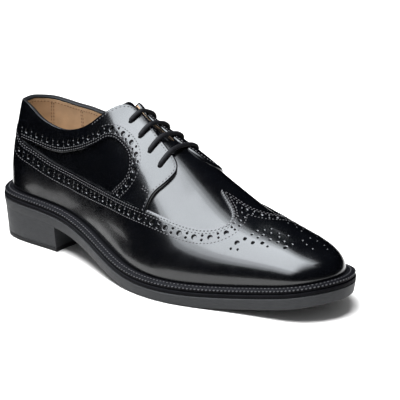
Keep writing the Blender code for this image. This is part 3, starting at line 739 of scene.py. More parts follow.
def offset(line, distance, edge=None):
    """A line of places moved to its right, or left if negative, less what is then too close to the edge."""
    distance = np.broadcast_to(distance, len(line))
    right = right_of(line)
    steps = math.ceil(np.abs(distance).max() / OFFSET_STEP)
    places = line
    for _ in range(steps):
        places = moved(places, right * (distance / steps)[:, None])
        normals = wall(places)[1]
        right = unit(right - normals * dots(right, normals)[:, None])
    gap, _ = nearest(wall(places)[0], wall(line if edge is None else edge)[0])
    return places[gap > OFFSET_KEPT * np.abs(distance)]


def stations_of(line):
    """x at each place on a line."""
    return np.where(line[:, 1] <= 0, station(line[:, 0], "lateral"), station(line[:, 0], "medial"))


def table_over(line, table):
    """A table's second and later columns, read at the x of each place on a line."""
    first, *rest = zip(*table)
    return [np.interp(stations_of(line), first, column) for column in rest]


def side_line(side, x_from, x_to, across):
    """Line of places from one x to another, where across is a function of x and u."""
    low, high = sorted(straight([x_from, x_to], side))
    u = np.linspace(low, high, math.ceil((high - low) / LINE_STEP) + 1)
    line = np.stack([u, SIDES[side] * across(station(u, side), u)], -1)
    return line if x_from < x_to else line[::-1]


def wing_side(side, x_from, x_to, gap=0.0):
    """The wing's top edge along one side, or a line that much above it."""
    return side_line(side, x_from, x_to, lambda x, u: wall_length(u, side) - wing_height[side](x) - gap)


def wing_halves():
    """The wing's top edge: along the lateral side to the peak, and from the peak back along the medial."""
    lateral = wing_side("lateral", feather.back, WING_KNOTS[0])
    medial = wing_side("medial", WING_KNOTS[0], feather.back)
    knots = {side: wing_side(side, *WING_KNOTS)[[0, -1]] for side in SIDES}
    near = curve_through(np.concatenate([knots["lateral"], WING_LATERAL_SCALLOP]), LINE_STEP)
    far = curve_through(np.concatenate([WING_MEDIAL_SCALLOP, knots["medial"][::-1]]), LINE_STEP)
    return np.concatenate([lateral[:-1], near]), np.concatenate([far[:-1], medial])


def opening_line(side, x_from, x_to, below=0.0):
    """The edge of the collar and the slot on one side."""
    return side_line(side, x_from, x_to, lambda x, u: opening[side](x) + below)


def above_plan(spots, lift):
    """Places on the toe whose lifted points have the given plan positions."""
    stations = np.linspace(TOE_FROM, feather.front - 1, TOE_GRID[0])
    rows = np.linspace(-TOE_HALF, TOE_HALF, TOE_GRID[1])
    grid = np.stack(np.meshgrid(stations, rows, indexing="ij"), -1).reshape(-1, 2)
    flat = np.c_[spots, np.zeros(len(spots))]

    def seen(places):
        points, normals = wall(places)
        return (points + lift * normals) * (1, 1, 0)

    places = grid[nearest(flat, seen(grid))[1]]
    for _ in range(TOE_TRIES):
        places = moved(places, flat - seen(places))
    return places


# Meshes

def new_mesh(name, points, faces, normals=None):
    """Mesh from points in millimetres, with its given normals, or smooth up to the sharp angle."""
    mesh = bpy.data.meshes.new(name)
    mesh.from_pydata(model(points).tolist(), [], [list(map(int, face)) for face in faces])
    mesh.shade_smooth()
    if normals is not None:
        mesh.normals_split_custom_set_from_vertices(normals.tolist())
        return mesh
    shape = bmesh.new()
    shape.from_mesh(mesh)
    bmesh.ops.remove_doubles(shape, verts=shape.verts, dist=MERGE * MM)
    bmesh.ops.recalc_face_normals(shape, faces=shape.faces)
    shape.to_mesh(mesh)
    shape.free()
    mesh.shade_smooth()
    mesh.set_sharp_from_angle(angle=SMOOTH_ANGLE)
    return mesh


def new_object(name, data):
    thing = bpy.data.objects.new(name, data)
    bpy.context.scene.collection.objects.link(thing)
    return thing


def add_piece(name, mesh, material, slot, *nodes):
    """Piece of the shoe, riding on its one body, in place of the nodes that it stands for."""
    piece = new_object(name, mesh)
    mesh.materials.append(material)
    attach(piece, "root")
    if nodes:
        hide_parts(*nodes)


def quads(index):
    """Faces between the neighbours in a grid of indices."""
    corners = [index[:-1, :-1], index[1:, :-1], index[1:, 1:], index[:-1, 1:]]
    return np.stack(corners, -1).reshape(-1, 4)


def grid_faces(rows, wide, wrap=False, first=0):
    """Faces of a grid of rows by wide points, closed round its rows if wrapped."""
    index = first + np.arange(rows * wide).reshape(rows, wide)
    return quads(np.concatenate([index, index[:1]]) if wrap else index)


def troughs(points, lines):
    """Depth of soft troughs at points, and its slope: lines of points with their depths and widths."""
    depth = np.zeros(len(points))
    slope = np.zeros_like(points)
    for line, deep, width in lines:
        distance, index = nearest(points, line)
        bell = deep[index] * np.exp(-(distance / width) ** 2)
        depth += bell
        slope -= (2 / width ** 2) * bell[:, None] * (points - line[index])
    return depth, slope


def crease_lines():
    """Lines of points along the creases, with their depths and widths."""
    share = np.linspace(-1, 1, CREASE_STEPS)
    lines = []
    for x, lateral, medial, bow, depth, width in CREASES:
        across = np.where(share < 0, -share * lateral, share * medial)
        points = wall(np.stack([x + bow * share ** 2, across], -1))[0]
        lines.append((points, depth * (1 - share ** 2), width))
    return lines


def lifted(points, normals, lift, depth, slope):
    """Surface that lies above the last by lift less depth, with its normals."""
    level_slope = slope - normals * dots(slope, normals)[:, None]
    return points + normals * (lift - depth)[:, None], unit(normals + level_slope)


def inside(points, loop):
    """Which flat points lie inside a closed loop."""
    ax, ay = loop[:, 0], loop[:, 1]
    bx, by = np.roll(ax, -1), np.roll(ay, -1)
    rise = np.where(by == ay, 1.0, by - ay)
    hits = []
    for part in np.array_split(points, len(points) // CHUNK + 1):
        x, y = part[:, 0, None], part[:, 1, None]
        crosses = (ay > y) != (by > y)
        hits.append((crosses & (x < ax + (y - ay) * (bx - ax) / rise)).sum(1) % 2 == 1)
    return np.concatenate(hits)


def fill_places():
    """Even places all over the wall, to fill the panels."""
    stations = feather.stations(FILL_STEP)
    places = []
    for side, sign in SIDES.items():
        u = straight(stations, side)
        for at, length in zip(u, wall_length(u, side)):
            across = np.arange(length - 0.5 * FILL_STEP, FILL_RIDGE, -FILL_STEP)
            places.append(np.stack([np.full(len(across), at), sign * across], -1))
    return np.concatenate(places)


def thinned(points):
    """Indices of points that leave about one in each cell of a cubic grid."""
    cells = np.floor(points / FILL_CELL).astype(int)
    return np.sort(np.unique(cells, axis=0, return_index=True)[1])


def hole_loops(spots, edge):
    """Round holes (place, radius) as loops, less those that would touch an earlier one or the edge."""
    places = np.array([place for place, radius in spots])
    radii = np.array([radius for place, radius in spots])
    points, normals = wall(places)
    clear = nearest(points, wall(edge)[0])[0] > radii + HOLE_CLEAR
    clear &= inside(pattern(places), pattern(edge))
    kept = []
    for i in np.nonzero(clear)[0]:
        apart = np.linalg.norm(points[kept] - points[i], axis=1) - radii[kept]
        if not len(kept) or apart.min() > radii[i] + HOLE_CLEAR:
            kept.append(i)
    forward = unit(np.cross([[0.0, 1.0, 0.0]], normals[kept]))
    sideways = np.cross(normals[kept], forward)
    cos, sin = (part(circle(HOLE_SIDES))[None, :, None] for part in (np.cos, np.sin))
    steps = (radii[kept, None, None] * (cos * forward[:, None] + sin * sideways[:, None])).reshape(-1, 3)
    rings = moved(np.repeat(places[kept], HOLE_SIDES, axis=0), steps)
    return list(rings.reshape(-1, HOLE_SIDES, 2))


def smooth_step(value, low, high):
    """Soft step from 0 at low to 1 at high."""
    share = np.clip((value - low) / (high - low), 0, 1)
    return share * share * (3 - 2 * share)


def flap_rise(places, points, raised):
    """How far a facing stands off at its front and along the slot, and the slope of the latter."""
    slot_edge, slot_rise, flap_lift = raised
    gap, index = nearest(points, slot_edge)
    short = np.maximum(1 - gap / SLOT_RISE_WIDTH, 0)
    rise = flap_lift * smooth_step(places[:, 0], FLAP_FROM, FLAP_TO) + slot_rise * short ** 2
    steep = 2 * slot_rise / SLOT_RISE_WIDTH * short
    return rise, steep[:, None] * unit(points - slot_edge[index])


def inwards(loop):
    """Directions from a closed loop of places to its left, and the normals there."""
    points, normals = wall(loop)
    along = np.roll(points, -1, axis=0) - np.roll(points, 1, axis=0)
    return unit(np.cross(normals, along)), normals


def clockwise(loop):
    flat = pattern(loop)
    after = np.roll(flat, -1, axis=0)
    return (flat[:, 0] * after[:, 1] - flat[:, 1] * after[:, 0]).sum() < 0


def panel_places(loops, soft, rim_ways, fill):
    """A panel's places: those on its rims, then rings beside the holes and the soft edge, then the fill."""
    edge, *holes = loops
    rims = np.concatenate(loops)
    n = len(edge)
    groups = [moved(rims[n:], rim_ways[n:] * HOLE_EDGE[1])]
    groups += [moved(edge[soft], rim_ways[:n][soft] * inset) for inset in RING_INSETS]
    rounds = [wall(hole)[0] for hole in holes]
    centres = np.array([points.mean(0) for points in rounds])
    sizes = np.array([np.linalg.norm(points - c, axis=1).max() for points, c in zip(rounds, centres)])
    flat_edge = pattern(edge)
    places, taken = [rims], [wall(rims)[0]]
    for number, group in enumerate([*groups, fill]):
        filling = number == len(groups)
        group = group[inside(pattern(group), flat_edge)]
        points = wall(group)[0]
        clear = nearest(points, np.concatenate(taken))[0] > (FILL_CLEAR if filling else RING_CLEAR)
        distance, index = nearest(points, centres)
        clear &= distance > sizes[index] + HOLE_RING_CLEAR * (number > 0)
        kept = np.nonzero(clear)[0]
        if filling:
            kept = kept[thinned(points[kept])]
        places.append(group[kept])
        taken.append(points[kept])
    return np.concatenate(places)


def panel_triangles(places, loops):
    """Triangles inside a panel's edge and outside its holes, and the place after each one on its rims."""
    owner = np.zeros(len(places), int)
    after = []
    first = 0
    for number, loop in enumerate(loops):
        index = first + np.arange(len(loop))
        owner[index] = number
        after += np.roll(index, -1).tolist()
        first += len(loop)
    flat = [tuple(point) for point in pattern(places).tolist()]
    flat, _, faces, sources, *_ = delaunay_2d_cdt(flat, list(enumerate(after)), [], 0, PATTERN_CLOSE)
    flat = np.array([tuple(point) for point in flat])
    origin = np.array([source[0] if source else -1 for source in sources])
    faces = np.array(faces)
    faces = faces[(origin[faces] >= 0).all(1)]
    triangles = origin[faces]
    owners = owner[triangles]
    punched = (owners[:, 0] > 0) & (owners == owners[:, :1]).all(1)
    return triangles[inside(flat[faces].mean(1), pattern(loops[0])) & ~punched], np.array(after)


def make_panel(name, edge, rolled, holes, top, fill, material, node, raised=None):
    """Leather panel inside a closed loop of places: punched, and rounded along its edges."""
    if clockwise(edge):
        edge, rolled = edge[::-1], rolled[::-1]
    loops = [edge] + [hole if clockwise(hole) else hole[::-1] for hole in holes]
    rims = np.concatenate(loops)
    n = len(rims)
    rim_ways, rim_normals = (np.concatenate(part) for part in zip(*map(inwards, loops)))
    rolls, rounds, leans = np.concatenate([rolled, np.full((n - len(edge), 3), HOLE_EDGE)]).T
    soft = rolls > 0
    places = panel_places(loops, soft[:len(edge)], rim_ways, fill)
    triangles, after = panel_triangles(places, loops)
    points, normals = wall(places)
    depth, slope = troughs(points, crease_lines())
    edges = wall(rims[soft])[0]
    gap, index = nearest(points, edges)
    roll, wide = rolls[soft][index], rounds[soft][index]
    short = np.maximum(1 - gap / wide, 0)
    short[:n] *= soft
    away = unit(points - edges[index])
    away[:n] = rim_ways
    depth += 0.5 * roll * wide * short ** 2
    slope -= (roll * short)[:, None] * away
    if raised is not None:
        rise, tilt = flap_rise(places, points, raised)
        depth -= rise
        slope += tilt
    high, high_normals = lifted(points, normals, top, depth, slope)
    low = points + normals * PANEL_FOOT
    cut_normals = unit(rim_normals * leans[:, None] - rim_ways)
    count, before = len(places), np.arange(n)
    walls = np.stack([before, 2 * count + before, 2 * count + after, after], -1)
    faces = [*triangles, *(triangles[:, ::-1] + count), *walls]
    mesh = new_mesh(name, np.concatenate([high, low, low[:n]]), faces,
                    np.concatenate([high_normals, -normals, cut_normals]))
    add_piece(name, mesh, material, "overlay_leather", node)


def between(ends, normals):
    """Middles, directions and normals of the stitches between the ends of a row."""
    return 0.5 * (ends[1:] + ends[:-1]), unit(np.diff(ends, axis=0)), unit(normals[1:] + normals[:-1])


def stitches(line, pitch, lift, raised=None):
    """Stitches of a seam along a line of places."""
    places = spread(line, pitch)
    points, normals = wall(places)
    lifts = np.full(len(places), lift)
    if raised is not None:
        lifts += flap_rise(places, points, raised)[0]
    return between(points + normals * lifts[:, None], normals)


def make_stitching(name, rows, half, material, slot):
    """Rows of sewn stitches as one mesh of small rounded lozenges."""
    middles, along, normals = (np.concatenate(part) for part in zip(*rows))
    across = unit(np.cross(normals, along))
    turned = along * math.cos(STITCH_TURN) + across * math.sin(STITCH_TURN)
    sideways = unit(np.cross(normals, turned))
    shape = [(-1.0, 0.0, -STITCH_SINK)]
    for at, wide in STITCH_RINGS:
        shape += [(at, wide * math.cos(a), wide * math.sin(a)) for a in circle(STITCH_SIDES)]
    shape = np.array([*shape, (1.0, 0.0, -STITCH_SINK)]) * half
    points = middles[:, None] + np.einsum("ka,nac->nkc", shape, np.stack([turned, sideways, normals], 1))
    last = len(shape) - 1
    faces = []
    for i in range(STITCH_SIDES):
        after = (i + 1) % STITCH_SIDES
        faces += [(0, 1 + after, 1 + i), (last, last - STITCH_SIDES + i, last - STITCH_SIDES + after)]
        for a in (1, 1 + STITCH_SIDES):
            b = a + STITCH_SIDES
            faces.append((a + i, a + after, b + after, b + i))
    mesh = bpy.data.meshes.new(name)
    all_faces = [[k + number * len(shape) for k in face] for number in range(len(points)) for face in faces]
    mesh.from_pydata(model(points.reshape(-1, 3)).tolist(), [], all_faces)
    mesh.shade_smooth()
    add_piece(name, mesh, material, slot)


def make_shell(name, low, high, setback, material, slot, *nodes):
    """Wall of the upper between two heights above the last, closed at its rims."""
    even = feather.stations(SHELL_STEP)
    close = np.arange(SHELL_CLOSE_FROM, WALL_SLOT_END + 0.5 * SHELL_CLOSE_STEP, SHELL_CLOSE_STEP)
    apart = np.abs(even[:, None] - close).min(1) > SHELL_CLEAR
    stations = np.unique(np.concatenate([even[apart], close]))
    share = np.linspace(0, 1, SHELL_ROWS + 1)[None, :]
    sides = []
    for side, sign in SIDES.items():
        u = straight(stations, side)
        edge = opening[side](np.minimum(stations, WALL_SLOT_ROUND)) + setback
        past = np.clip((stations - WALL_SLOT_ROUND) / (WALL_SLOT_END - WALL_SLOT_ROUND), 0, 1)
        edge = edge * np.sqrt(1 - past ** 2)
        across = sign * (wall_length(u, side)[:, None] * (1 - share) + edge[:, None] * share)
        sides.append(np.stack([np.repeat(u[:, None], SHELL_ROWS + 1, 1), across], -1))
    places = np.concatenate([sides[0], sides[1][-2:0:-1]])
    count, wide = places.shape[:2]
    points, normals = wall(places.reshape(-1, 2))
    depth, slope = troughs(points, crease_lines())
    outer, outer_normals = lifted(points, normals, high, depth, slope)
    inner, inner_normals = lifted(points, normals, low, depth, slope)
    n = count * wide
    rim = np.arange(n).reshape(count, wide)
    faces = [grid_faces(count, wide, True), grid_faces(count, wide, True, n)[:, ::-1]]
    all_points, all_normals = [outer, inner], [outer_normals, -inner_normals]
    for number, (column, beside) in enumerate(((0, 1), (wide - 1, wide - 2))):
        ring = rim[:, column]
        way = unit(points[ring] - points[rim[:, beside]])
        all_points += [inner[ring], outer[ring]]
        all_normals += [way, way]
        index = 2 * n + 2 * count * number + np.arange(2 * count).reshape(2, count)
        strip = quads(np.concatenate([index, index[:, :1]], 1))
        faces.append(strip if column else strip[:, ::-1])
    mesh = new_mesh(name, np.concatenate(all_points), np.concatenate(faces), np.concatenate(all_normals))
    add_piece(name, mesh, material, slot, *nodes)


def sweep(path, ups, half_side, half_up, sides):
    """Rings of an oval tube along a path: points and normals, for each step and each side."""
    along = unit(np.gradient(path, axis=0))
    ups = unit(ups - along * dots(ups, along)[:, None])
    aside = np.cross(along, ups)
    cos, sin = (part(circle(sides))[None, :, None] for part in (np.cos, np.sin))
    half_side, half_up = (np.broadcast_to(half, len(path))[:, None, None] for half in (half_side, half_up))
    points = path[:, None] + aside[:, None] * cos * half_side + ups[:, None] * sin * half_up
    normals = unit(aside[:, None] * cos / half_side + ups[:, None] * sin / half_up)
    return points, normals


def make_tube(name, rings, material, slot, *nodes, closed=False):
    """Tube from rings of points, either closed to a ring itself or capped at its ends."""
    count, sides = rings.shape[:2]
    around = np.concatenate([rings, rings[:, :1]], 1).reshape(-1, 3)
    faces = grid_faces(count, sides + 1, closed).tolist()
    if not closed:
        faces += [list(range(start, start + sides)) for start in (0, (count - 1) * (sides + 1))]
    add_piece(name, new_mesh(name, around, faces), material, slot, *nodes)


# Finishes

class Finish:
    """Material with one Principled BSDF, and noise in the shoe's own coordinates."""

    def __init__(self, name, colour, roughness, specular):
        self.material = bpy.data.materials.new(name)
        self.material.use_nodes = True
        self.tree = self.material.node_tree
        self.surface = self.tree.nodes["Principled BSDF"]
        self.place = self.tree.nodes.new("ShaderNodeTexCoord").outputs["Object"]
        self.colour = colour
        self.normal = None
        values = {"Base Color": (*colour, 1), "Roughness": roughness, "Specular IOR Level": specular}
        self.put(self.surface, values)

    def put(self, node, values):
        """Sets a node's inputs to values, or links them to other nodes' outputs."""
        for name, value in values.items():
            if isinstance(value, bpy.types.NodeSocket):
                self.tree.links.new(value, node.inputs[name])
            else:
                node.inputs[name].default_value = value

    def add(self, kind, values):
        node = self.tree.nodes.new(kind)
        self.put(node, values)
        return node

    def noise(self, size, detail=3.0, stretch=None):
        """Noise with features about that many millimetres across."""
        place = self.place
        if stretch:
            place = self.add("ShaderNodeMapping", {"Vector": place, "Scale": stretch}).outputs["Vector"]
        values = {"Vector": place, "Scale": 1 / (size * MM), "Detail": detail}
        return self.add("ShaderNodeTexNoise", values).outputs["Fac"]

    def tint(self, size, low, high, stretch=None):
        """Base colour that varies between two shares of itself."""
        ramp = self.add("ShaderNodeValToRGB", {"Fac": self.noise(size, stretch=stretch)})
        for element, share, at in zip(ramp.color_ramp.elements, (low, high), NOISE_RANGE):
            element.position = at
            element.color = (*(share * part for part in self.colour), 1)
        self.put(self.surface, {"Base Color": ramp.outputs["Color"]})

    def rough(self, size, low, high):
        """Roughness that varies between two values."""
        ends = zip(("From Min", "From Max", "To Min", "To Max"), (*NOISE_RANGE, low, high))
        span = self.add("ShaderNodeMapRange", {"Value": self.noise(size), **dict(ends)})
        self.put(self.surface, {"Roughness": span.outputs["Result"]})

    def bump(self, size, height, detail=3.0, stretch=None, coat=False):
        """Relief of that size and height in millimetres, on top of the earlier ones."""
        values = {"Distance": height * MM, "Height": self.noise(size, detail, stretch)}
        if self.normal:
            values["Normal"] = self.normal
        self.normal = self.add("ShaderNodeBump", values).outputs["Normal"]
        for name in ("Normal", "Coat Normal") if coat else ("Normal",):
            self.put(self.surface, {name: self.normal})

    def coat(self, weight, roughness):
        self.put(self.surface, {"Coat Weight": weight, "Coat Roughness": roughness})


def make_finish(name, colour, roughness, specular, tint, rough, relief, coat=None):
    """Material whose colour, roughness and relief vary with noise."""
    finish = Finish(name, colour, roughness, specular)
    finish.tint(*tint)
    if rough:
        finish.rough(*rough)
    if coat:
        finish.coat(*coat)
    for row in relief:
        finish.bump(*row)
    return finish.material


# Pieces of the shoe

def brogue_row(row):
    """Large holes along a line of places, and a pair of small ones between each two."""
    length = run_length(wall(row)[0])
    count = max(1, round(length[-1] / HOLE_PITCH))
    right = right_of(row)
    spots = []
    for aside, start, radius in (
            (0.0, 0.5, LARGE_HOLE), (-PAIR_SPREAD, 1.0, SMALL_HOLE), (PAIR_SPREAD, 1.0, SMALL_HOLE)):
        at = (np.arange(count) + start) * length[-1] / count
        spots += [(place, radius) for place in read_along(moved(row, right * aside), length, at)]
    return spots


def wing_spots(halves, edge):
    """Broguing of the wing: the figure at the peak, the rows along its top edge and the toe's medallion."""
    spots = [(np.array(place), SMALL_HOLE) for place in PEAK_HOLES]
    for half in halves:
        spots += brogue_row(offset(half, table_over(half, WING_BAND)[0], edge))
    toe = [(x, MEDALLION_AXIS + way * off, radius) for x, off, radius in MEDALLION for way in (-1, 1)]
    toe_places = above_plan(np.array([spot[:2] for spot in toe]), WING_TOP)
    return spots + [(place, spot[2]) for place, spot in zip(toe_places, toe)]


def make_wing(fill, material, thread_material):
    """Long wing: over the toe, along both sides and round the heel."""
    halves = wing_halves()
    edge = np.concatenate([halves[0][:-1], halves[1]])
    seams = []
    for half in halves:
        seams += [offset(half, row, edge) for row in (*DOUBLE_ROW, table_over(half, WING_BAND)[1])]
    fine = spread(edge, PINK_STEP)
    wave = 2 * np.abs((run_length(wall(fine)[0]) / PINK_PITCH) % 1 - 0.5)
    pinked = moved(fine, right_of(fine) * (PINK_DEPTH * (2 * wave - 1))[:, None])
    pinked[[0, -1], 0] = fine[[0, -1], 0]
    feet = {}
    for side, sign in SIDES.items():
        u = straight(feather.stations(EDGE_STEP), side)
        feet[side] = np.stack([u, sign * wall_length(u, side)], -1)
    foot = np.concatenate([feet["lateral"], feet["medial"][-2::-1]])
    back_medial = np.linspace(foot[-1], pinked[-1], BACK_STEPS)[1:-1]
    back_lateral = np.linspace(pinked[0], foot[0], BACK_STEPS)[1:-1]
    loop = np.concatenate([foot, back_medial, pinked[::-1], back_lateral])
    rolled = np.full((len(loop), 3), HIDDEN_EDGE)
    start = len(foot) + len(back_medial)
    rolled[start:start + len(pinked)] = WING_EDGE_ROUND
    holes = hole_loops(wing_spots(halves, edge), loop)
    make_panel("wing_cap_leather", loop, rolled, holes, WING_TOP, fill, material, "wing_cap")
    rows = [stitches(line, STITCH_PITCH, WING_TOP) for line in seams]
    make_stitching("wing_stitching", rows, STITCH_HALF, thread_material, "overlay_leather")


def facing_edges(side):
    """Edges of one facing: collar, slot, front lobe, lower edge, band, and lower edge behind the band."""
    lobe = curve_through(FACING_LOBES[side], LINE_STEP)
    knots = [(straight(x, side), SIDES[side] * across) for x, across in FACING_BAND]
    band = curve_through(knots, LINE_STEP)
    x_lobe, x_band, x_end = station(np.array([lobe[-1, 0], band[0, 0], band[-1, 0]]), side)
    collar = opening_line(side, feather.back, BINDING_FADE[0])
    slot = opening_line(side, BINDING_FADE[0], FACING_LOBES[side][0][0])
    below = wing_side(side, x_lobe, x_band, -PANEL_TUCK)
    behind = wing_side(side, x_end, feather.back, -PANEL_TUCK)
    return collar, slot, lobe, below, band, behind


def make_facing(side, fill, material, thread_material):
    """Eyestay and collar band of one side."""
    sign = SIDES[side]
    edges = facing_edges(side)
    slot, lobe, band = edges[1], edges[2], edges[4]
    parts = [spread(edge, EDGE_STEP)[:-1] for edge in edges]
    loop = np.concatenate(parts)
    ways = (COLLAR_EDGE, SLOT_EDGE, SLOT_EDGE, HIDDEN_EDGE, BAND_EDGE, HIDDEN_EDGE)
    rolled = np.concatenate([np.full((len(part), 3), way) for part, way in zip(parts, ways)])
    slot_points = wall(opening_line(side, SLOT_RISE_FROM, FACING_LOBES[side][0][0]))[0]
    raised = slot_points, SLOT_RISE[side], FLAP_LIFT[side]
    *pair, eyestay, brogued = (offset(band, -sign * row)
                               for row in (*DOUBLE_ROW, EYESTAY_SEAM, table_over(band, COLLAR_BAND)[0]))
    seams = [*pair, eyestay[eyestay[:, 0] > EYESTAY_SEAM_FROM]]
    seams.append(offset(np.concatenate([slot[:-1], lobe]), -sign * SINGLE_ROW))
    for x, across in TACK_PLACES:
        seams.append(np.array([(x, sign * across), (x + TACK_LENGTH, sign * across)]))
    column = 1 + list(SIDES).index(side)
    eyelets = [(np.array([row[0], row[column]]), EYELET_RADIUS) for row in EYELETS]
    holes = hole_loops(eyelets + brogue_row(brogued), loop)
    make_panel(f"facing_leather_{side}", loop, rolled, holes, FACING_TOP, fill, material, f"facing_{side}",
               raised)
    rows = [stitches(line, STITCH_PITCH, FACING_TOP, raised) for line in seams]
    make_stitching(f"facing_stitching_{side}", rows, STITCH_HALF, thread_material, "overlay_leather")


def make_binding(material):
    """Rolled bead round the collar, which sinks into the facings' tops at its ends."""
    lateral = opening_line("lateral", feather.back, BINDING_FADE[1], BINDING_DROP)
    medial = opening_line("medial", BINDING_FADE[1], feather.back, BINDING_DROP)
    line = spread(np.concatenate([medial, lateral[1:]]), EDGE_STEP)
    points, normals = wall(line)
    fade = smooth_step(-stations_of(line), -BINDING_FADE[1], -BINDING_FADE[0])
    thick, deep = (end + (full - end) * fade for end, full in zip(BINDING_END, BINDING_HALF))
    rings, _ = sweep(points + normals * BINDING_MIDDLE, normals, deep, thick, BINDING_SIDES)
    make_tube("collar_binding", rings, material, "overlay_leather")


def make_lining_seams(material):
    """Sewn seams inside the quarters, and the row that holds the lining under the collar."""
    rows = []
    for side, sign in SIDES.items():
        lines = [opening_line(side, feather.back, LINING_ROW_END, LINING_ROW)]
        for x in LINING_SEAMS:
            for aside in LINING_PAIR:
                u = straight(x + aside, side)
                low = min(wall_length(u, side)[0], opening[side](x) + LINING_SEAM_LENGTH)
                lines.append(np.array([(u, sign * (opening[side](x) + LINING_ROW)), (u, sign * low)]))
        for line in lines:
            middles, along, normals = stitches(spread(line, LINE_STEP), LINING_PITCH, 0.0)
            rows.append((middles, along, -normals))
    make_stitching("lining_stitching", rows, STITCH_HALF, material, "lining")


def make_heel_strip(material, thread_material):
    """Sewn strip low at the back of the heel, over the wing."""
    full = wall_length(chart["lateral"][:1], "lateral")[0]
    turn = circle(STRIP_SIDES)
    shape = np.stack([STRIP_HALF_WIDTH * np.cos(turn), STRIP_HALF_HEIGHT * np.sin(turn)], -1)

    def on_wall(spots, lift):
        ways = np.where(spots[:, 0] > 0, 1, -1)
        start = np.where(ways > 0, chart["medial"][0], chart["lateral"][0])
        across = ways * (full - STRIP_MIDDLE - spots[:, 1])
        points, normals = wall(np.stack([start + np.abs(spots[:, 0]), across], -1))
        return points + normals * lift, normals

    rings = np.stack([on_wall(shape * share, lift)[0] for share, lift in STRIP_RINGS])
    make_tube("heel_strip_leather", rings, material, "overlay_leather", "heel_strip")
    rows = [between(*on_wall(np.concatenate([shape, shape[:1]]) * STRIP_SEAM, STRIP_TOP))]
    make_stitching("heel_strip_stitching", rows, STRIP_STITCH_HALF, thread_material, "overlay_leather")


def make_tongue(material):
    """Curved plate under the throat, widening to its rounded top, with soft edges."""
    rows, wide = TONGUE_GRID
    along = np.linspace(0, 1, rows)[:, None]
    share = np.linspace(-1, 1, wide)[None]
    middle_high = 1 - share ** 2
    stations = TONGUE_FRONT_X + (TONGUE_TOP_X - TONGUE_FRONT_X) * along
    half = TONGUE_HALF_FRONT + (TONGUE_HALF_TOP - TONGUE_HALF_FRONT) * along
    x = stations + TONGUE_TOP_DIP * along ** 4 * middle_high
    points, normals = wall(np.stack([x, half * share], -1).reshape(-1, 2))
    drop = TONGUE_FLATTER * along ** 2 * middle_high ** 2
    soft = (1 - share ** TONGUE_SOFT[0]) * (1 - along ** TONGUE_SOFT[1])
    thick = 0.5 * TONGUE_THICKNESS * np.sqrt(np.clip(soft, 0, 1))
    centre = points - normals * (TONGUE_GAP + 0.5 * TONGUE_THICKNESS + drop).reshape(-1, 1)
    over, under = (centre + normals * (way * thick).reshape(-1, 1) for way in (1, -1))
    n = rows * wide
    faces = np.concatenate([grid_faces(rows, wide), grid_faces(rows, wide, False, n)[:, ::-1]]).tolist()
    front = [(j, j + 1, n + j + 1, n + j) for j in range(wide - 1)]
    mesh = new_mesh("tongue_leather", np.concatenate([over, under]), faces + front)
    add_piece("tongue_leather", mesh, material, "vamp_leather", "tongue")


def make_laces(material):
    """Four bars of waxed lace across the throat, each down through its two eyelets."""
    strands = WEAVE_STRANDS * circle(LACE_SIDES)[None]
    for number, (x, *eyelets) in enumerate(EYELETS, 1):
        halves = []
        for (side, sign), eyelet in zip(SIDES.items(), eyelets):
            bar = FACING_TOP + LACE_HALF_HEIGHT + FLAP_LIFT[side] * smooth_step(x, FLAP_FROM, FLAP_TO)
            knots = [(eyelet, LACE_END), (eyelet, LACE_NECK)]
            knots += [(eyelet - sign * past, bar - depth) for past, depth in LACE_BEND[side]]
            knots.append((sign * (opening[side](x) + LACE_EDGE), bar + SLOT_RISE[side]))
            halves.append(knots)
        across, height = np.array(halves[0] + halves[1][::-1]).T
        points, normals = wall(np.stack([np.full(len(across), x), across], -1))
        path = curve_through(points + normals * height[:, None], LACE_STEP)
        ups = np.full((len(path), 3), LACE_UP)
        rings, normals = sweep(path, ups, LACE_HALF_WIDTH, LACE_HALF_HEIGHT, LACE_SIDES)
        run = 2 * math.pi * run_length(path)[:, None] / WEAVE_PITCH
        weave = WEAVE_HEIGHT * np.sin(run + strands) * np.sin(run - strands)
        rings += normals * weave[..., None]
        make_tube(f"lace_{number}", rings, material, "lace", f"lace_bar_{number}")


def slab_mesh(name, profile, end_x=None):
    """Plate that follows the sole: rows of inset and height function, from lower face to upper face."""
    top = Rim(profile[-1][0])
    top_x = top.stations(SOLE_STEP)
    if end_x is not None:
        top_x = np.append(top_x[top_x < end_x - 0.5 * SOLE_STEP], end_x)
    span = (top_x - top.back) / (top_x[-1] - top.back)
    share = np.linspace(0, 1, STRIPS_ACROSS + 1)[None, :, None]
    layers = []
    for inset, height in profile:
        rim = Rim(inset)
        x = rim.back + span * ((end_x or rim.front) - rim.back)
        lateral, medial = (plan(rim.parameter(x, side), inset) for side in SIDES)
        rows = lateral[:, None] * (1 - share) + medial[:, None] * share
        heights = height(rows[..., 0])[..., None]
        if end_x is not None:
            ahead = np.clip(1 + (rows[..., 0] - end_x) / HEEL_BREAST_REACH, 0, 1) ** 2
            rows[..., 0] -= HEEL_BREAST_HOLLOW * ahead * (1 - (2 * share[..., 0] - 1) ** 2)
        layers.append(np.concatenate([rows, heights], -1))
    points = np.stack(layers)
    index = np.arange(points[..., 0].size).reshape(points.shape[:3])
    sides = [index[:, :, 0], index[:, -1, 1:], index[:, -2::-1, -1], index[:, 0, -2::-1]]
    border = np.concatenate(sides, axis=1)
    faces = np.concatenate([quads(border.T), quads(index[0]), quads(index[-1])])
    return new_mesh(name, points.reshape(-1, 3), faces)


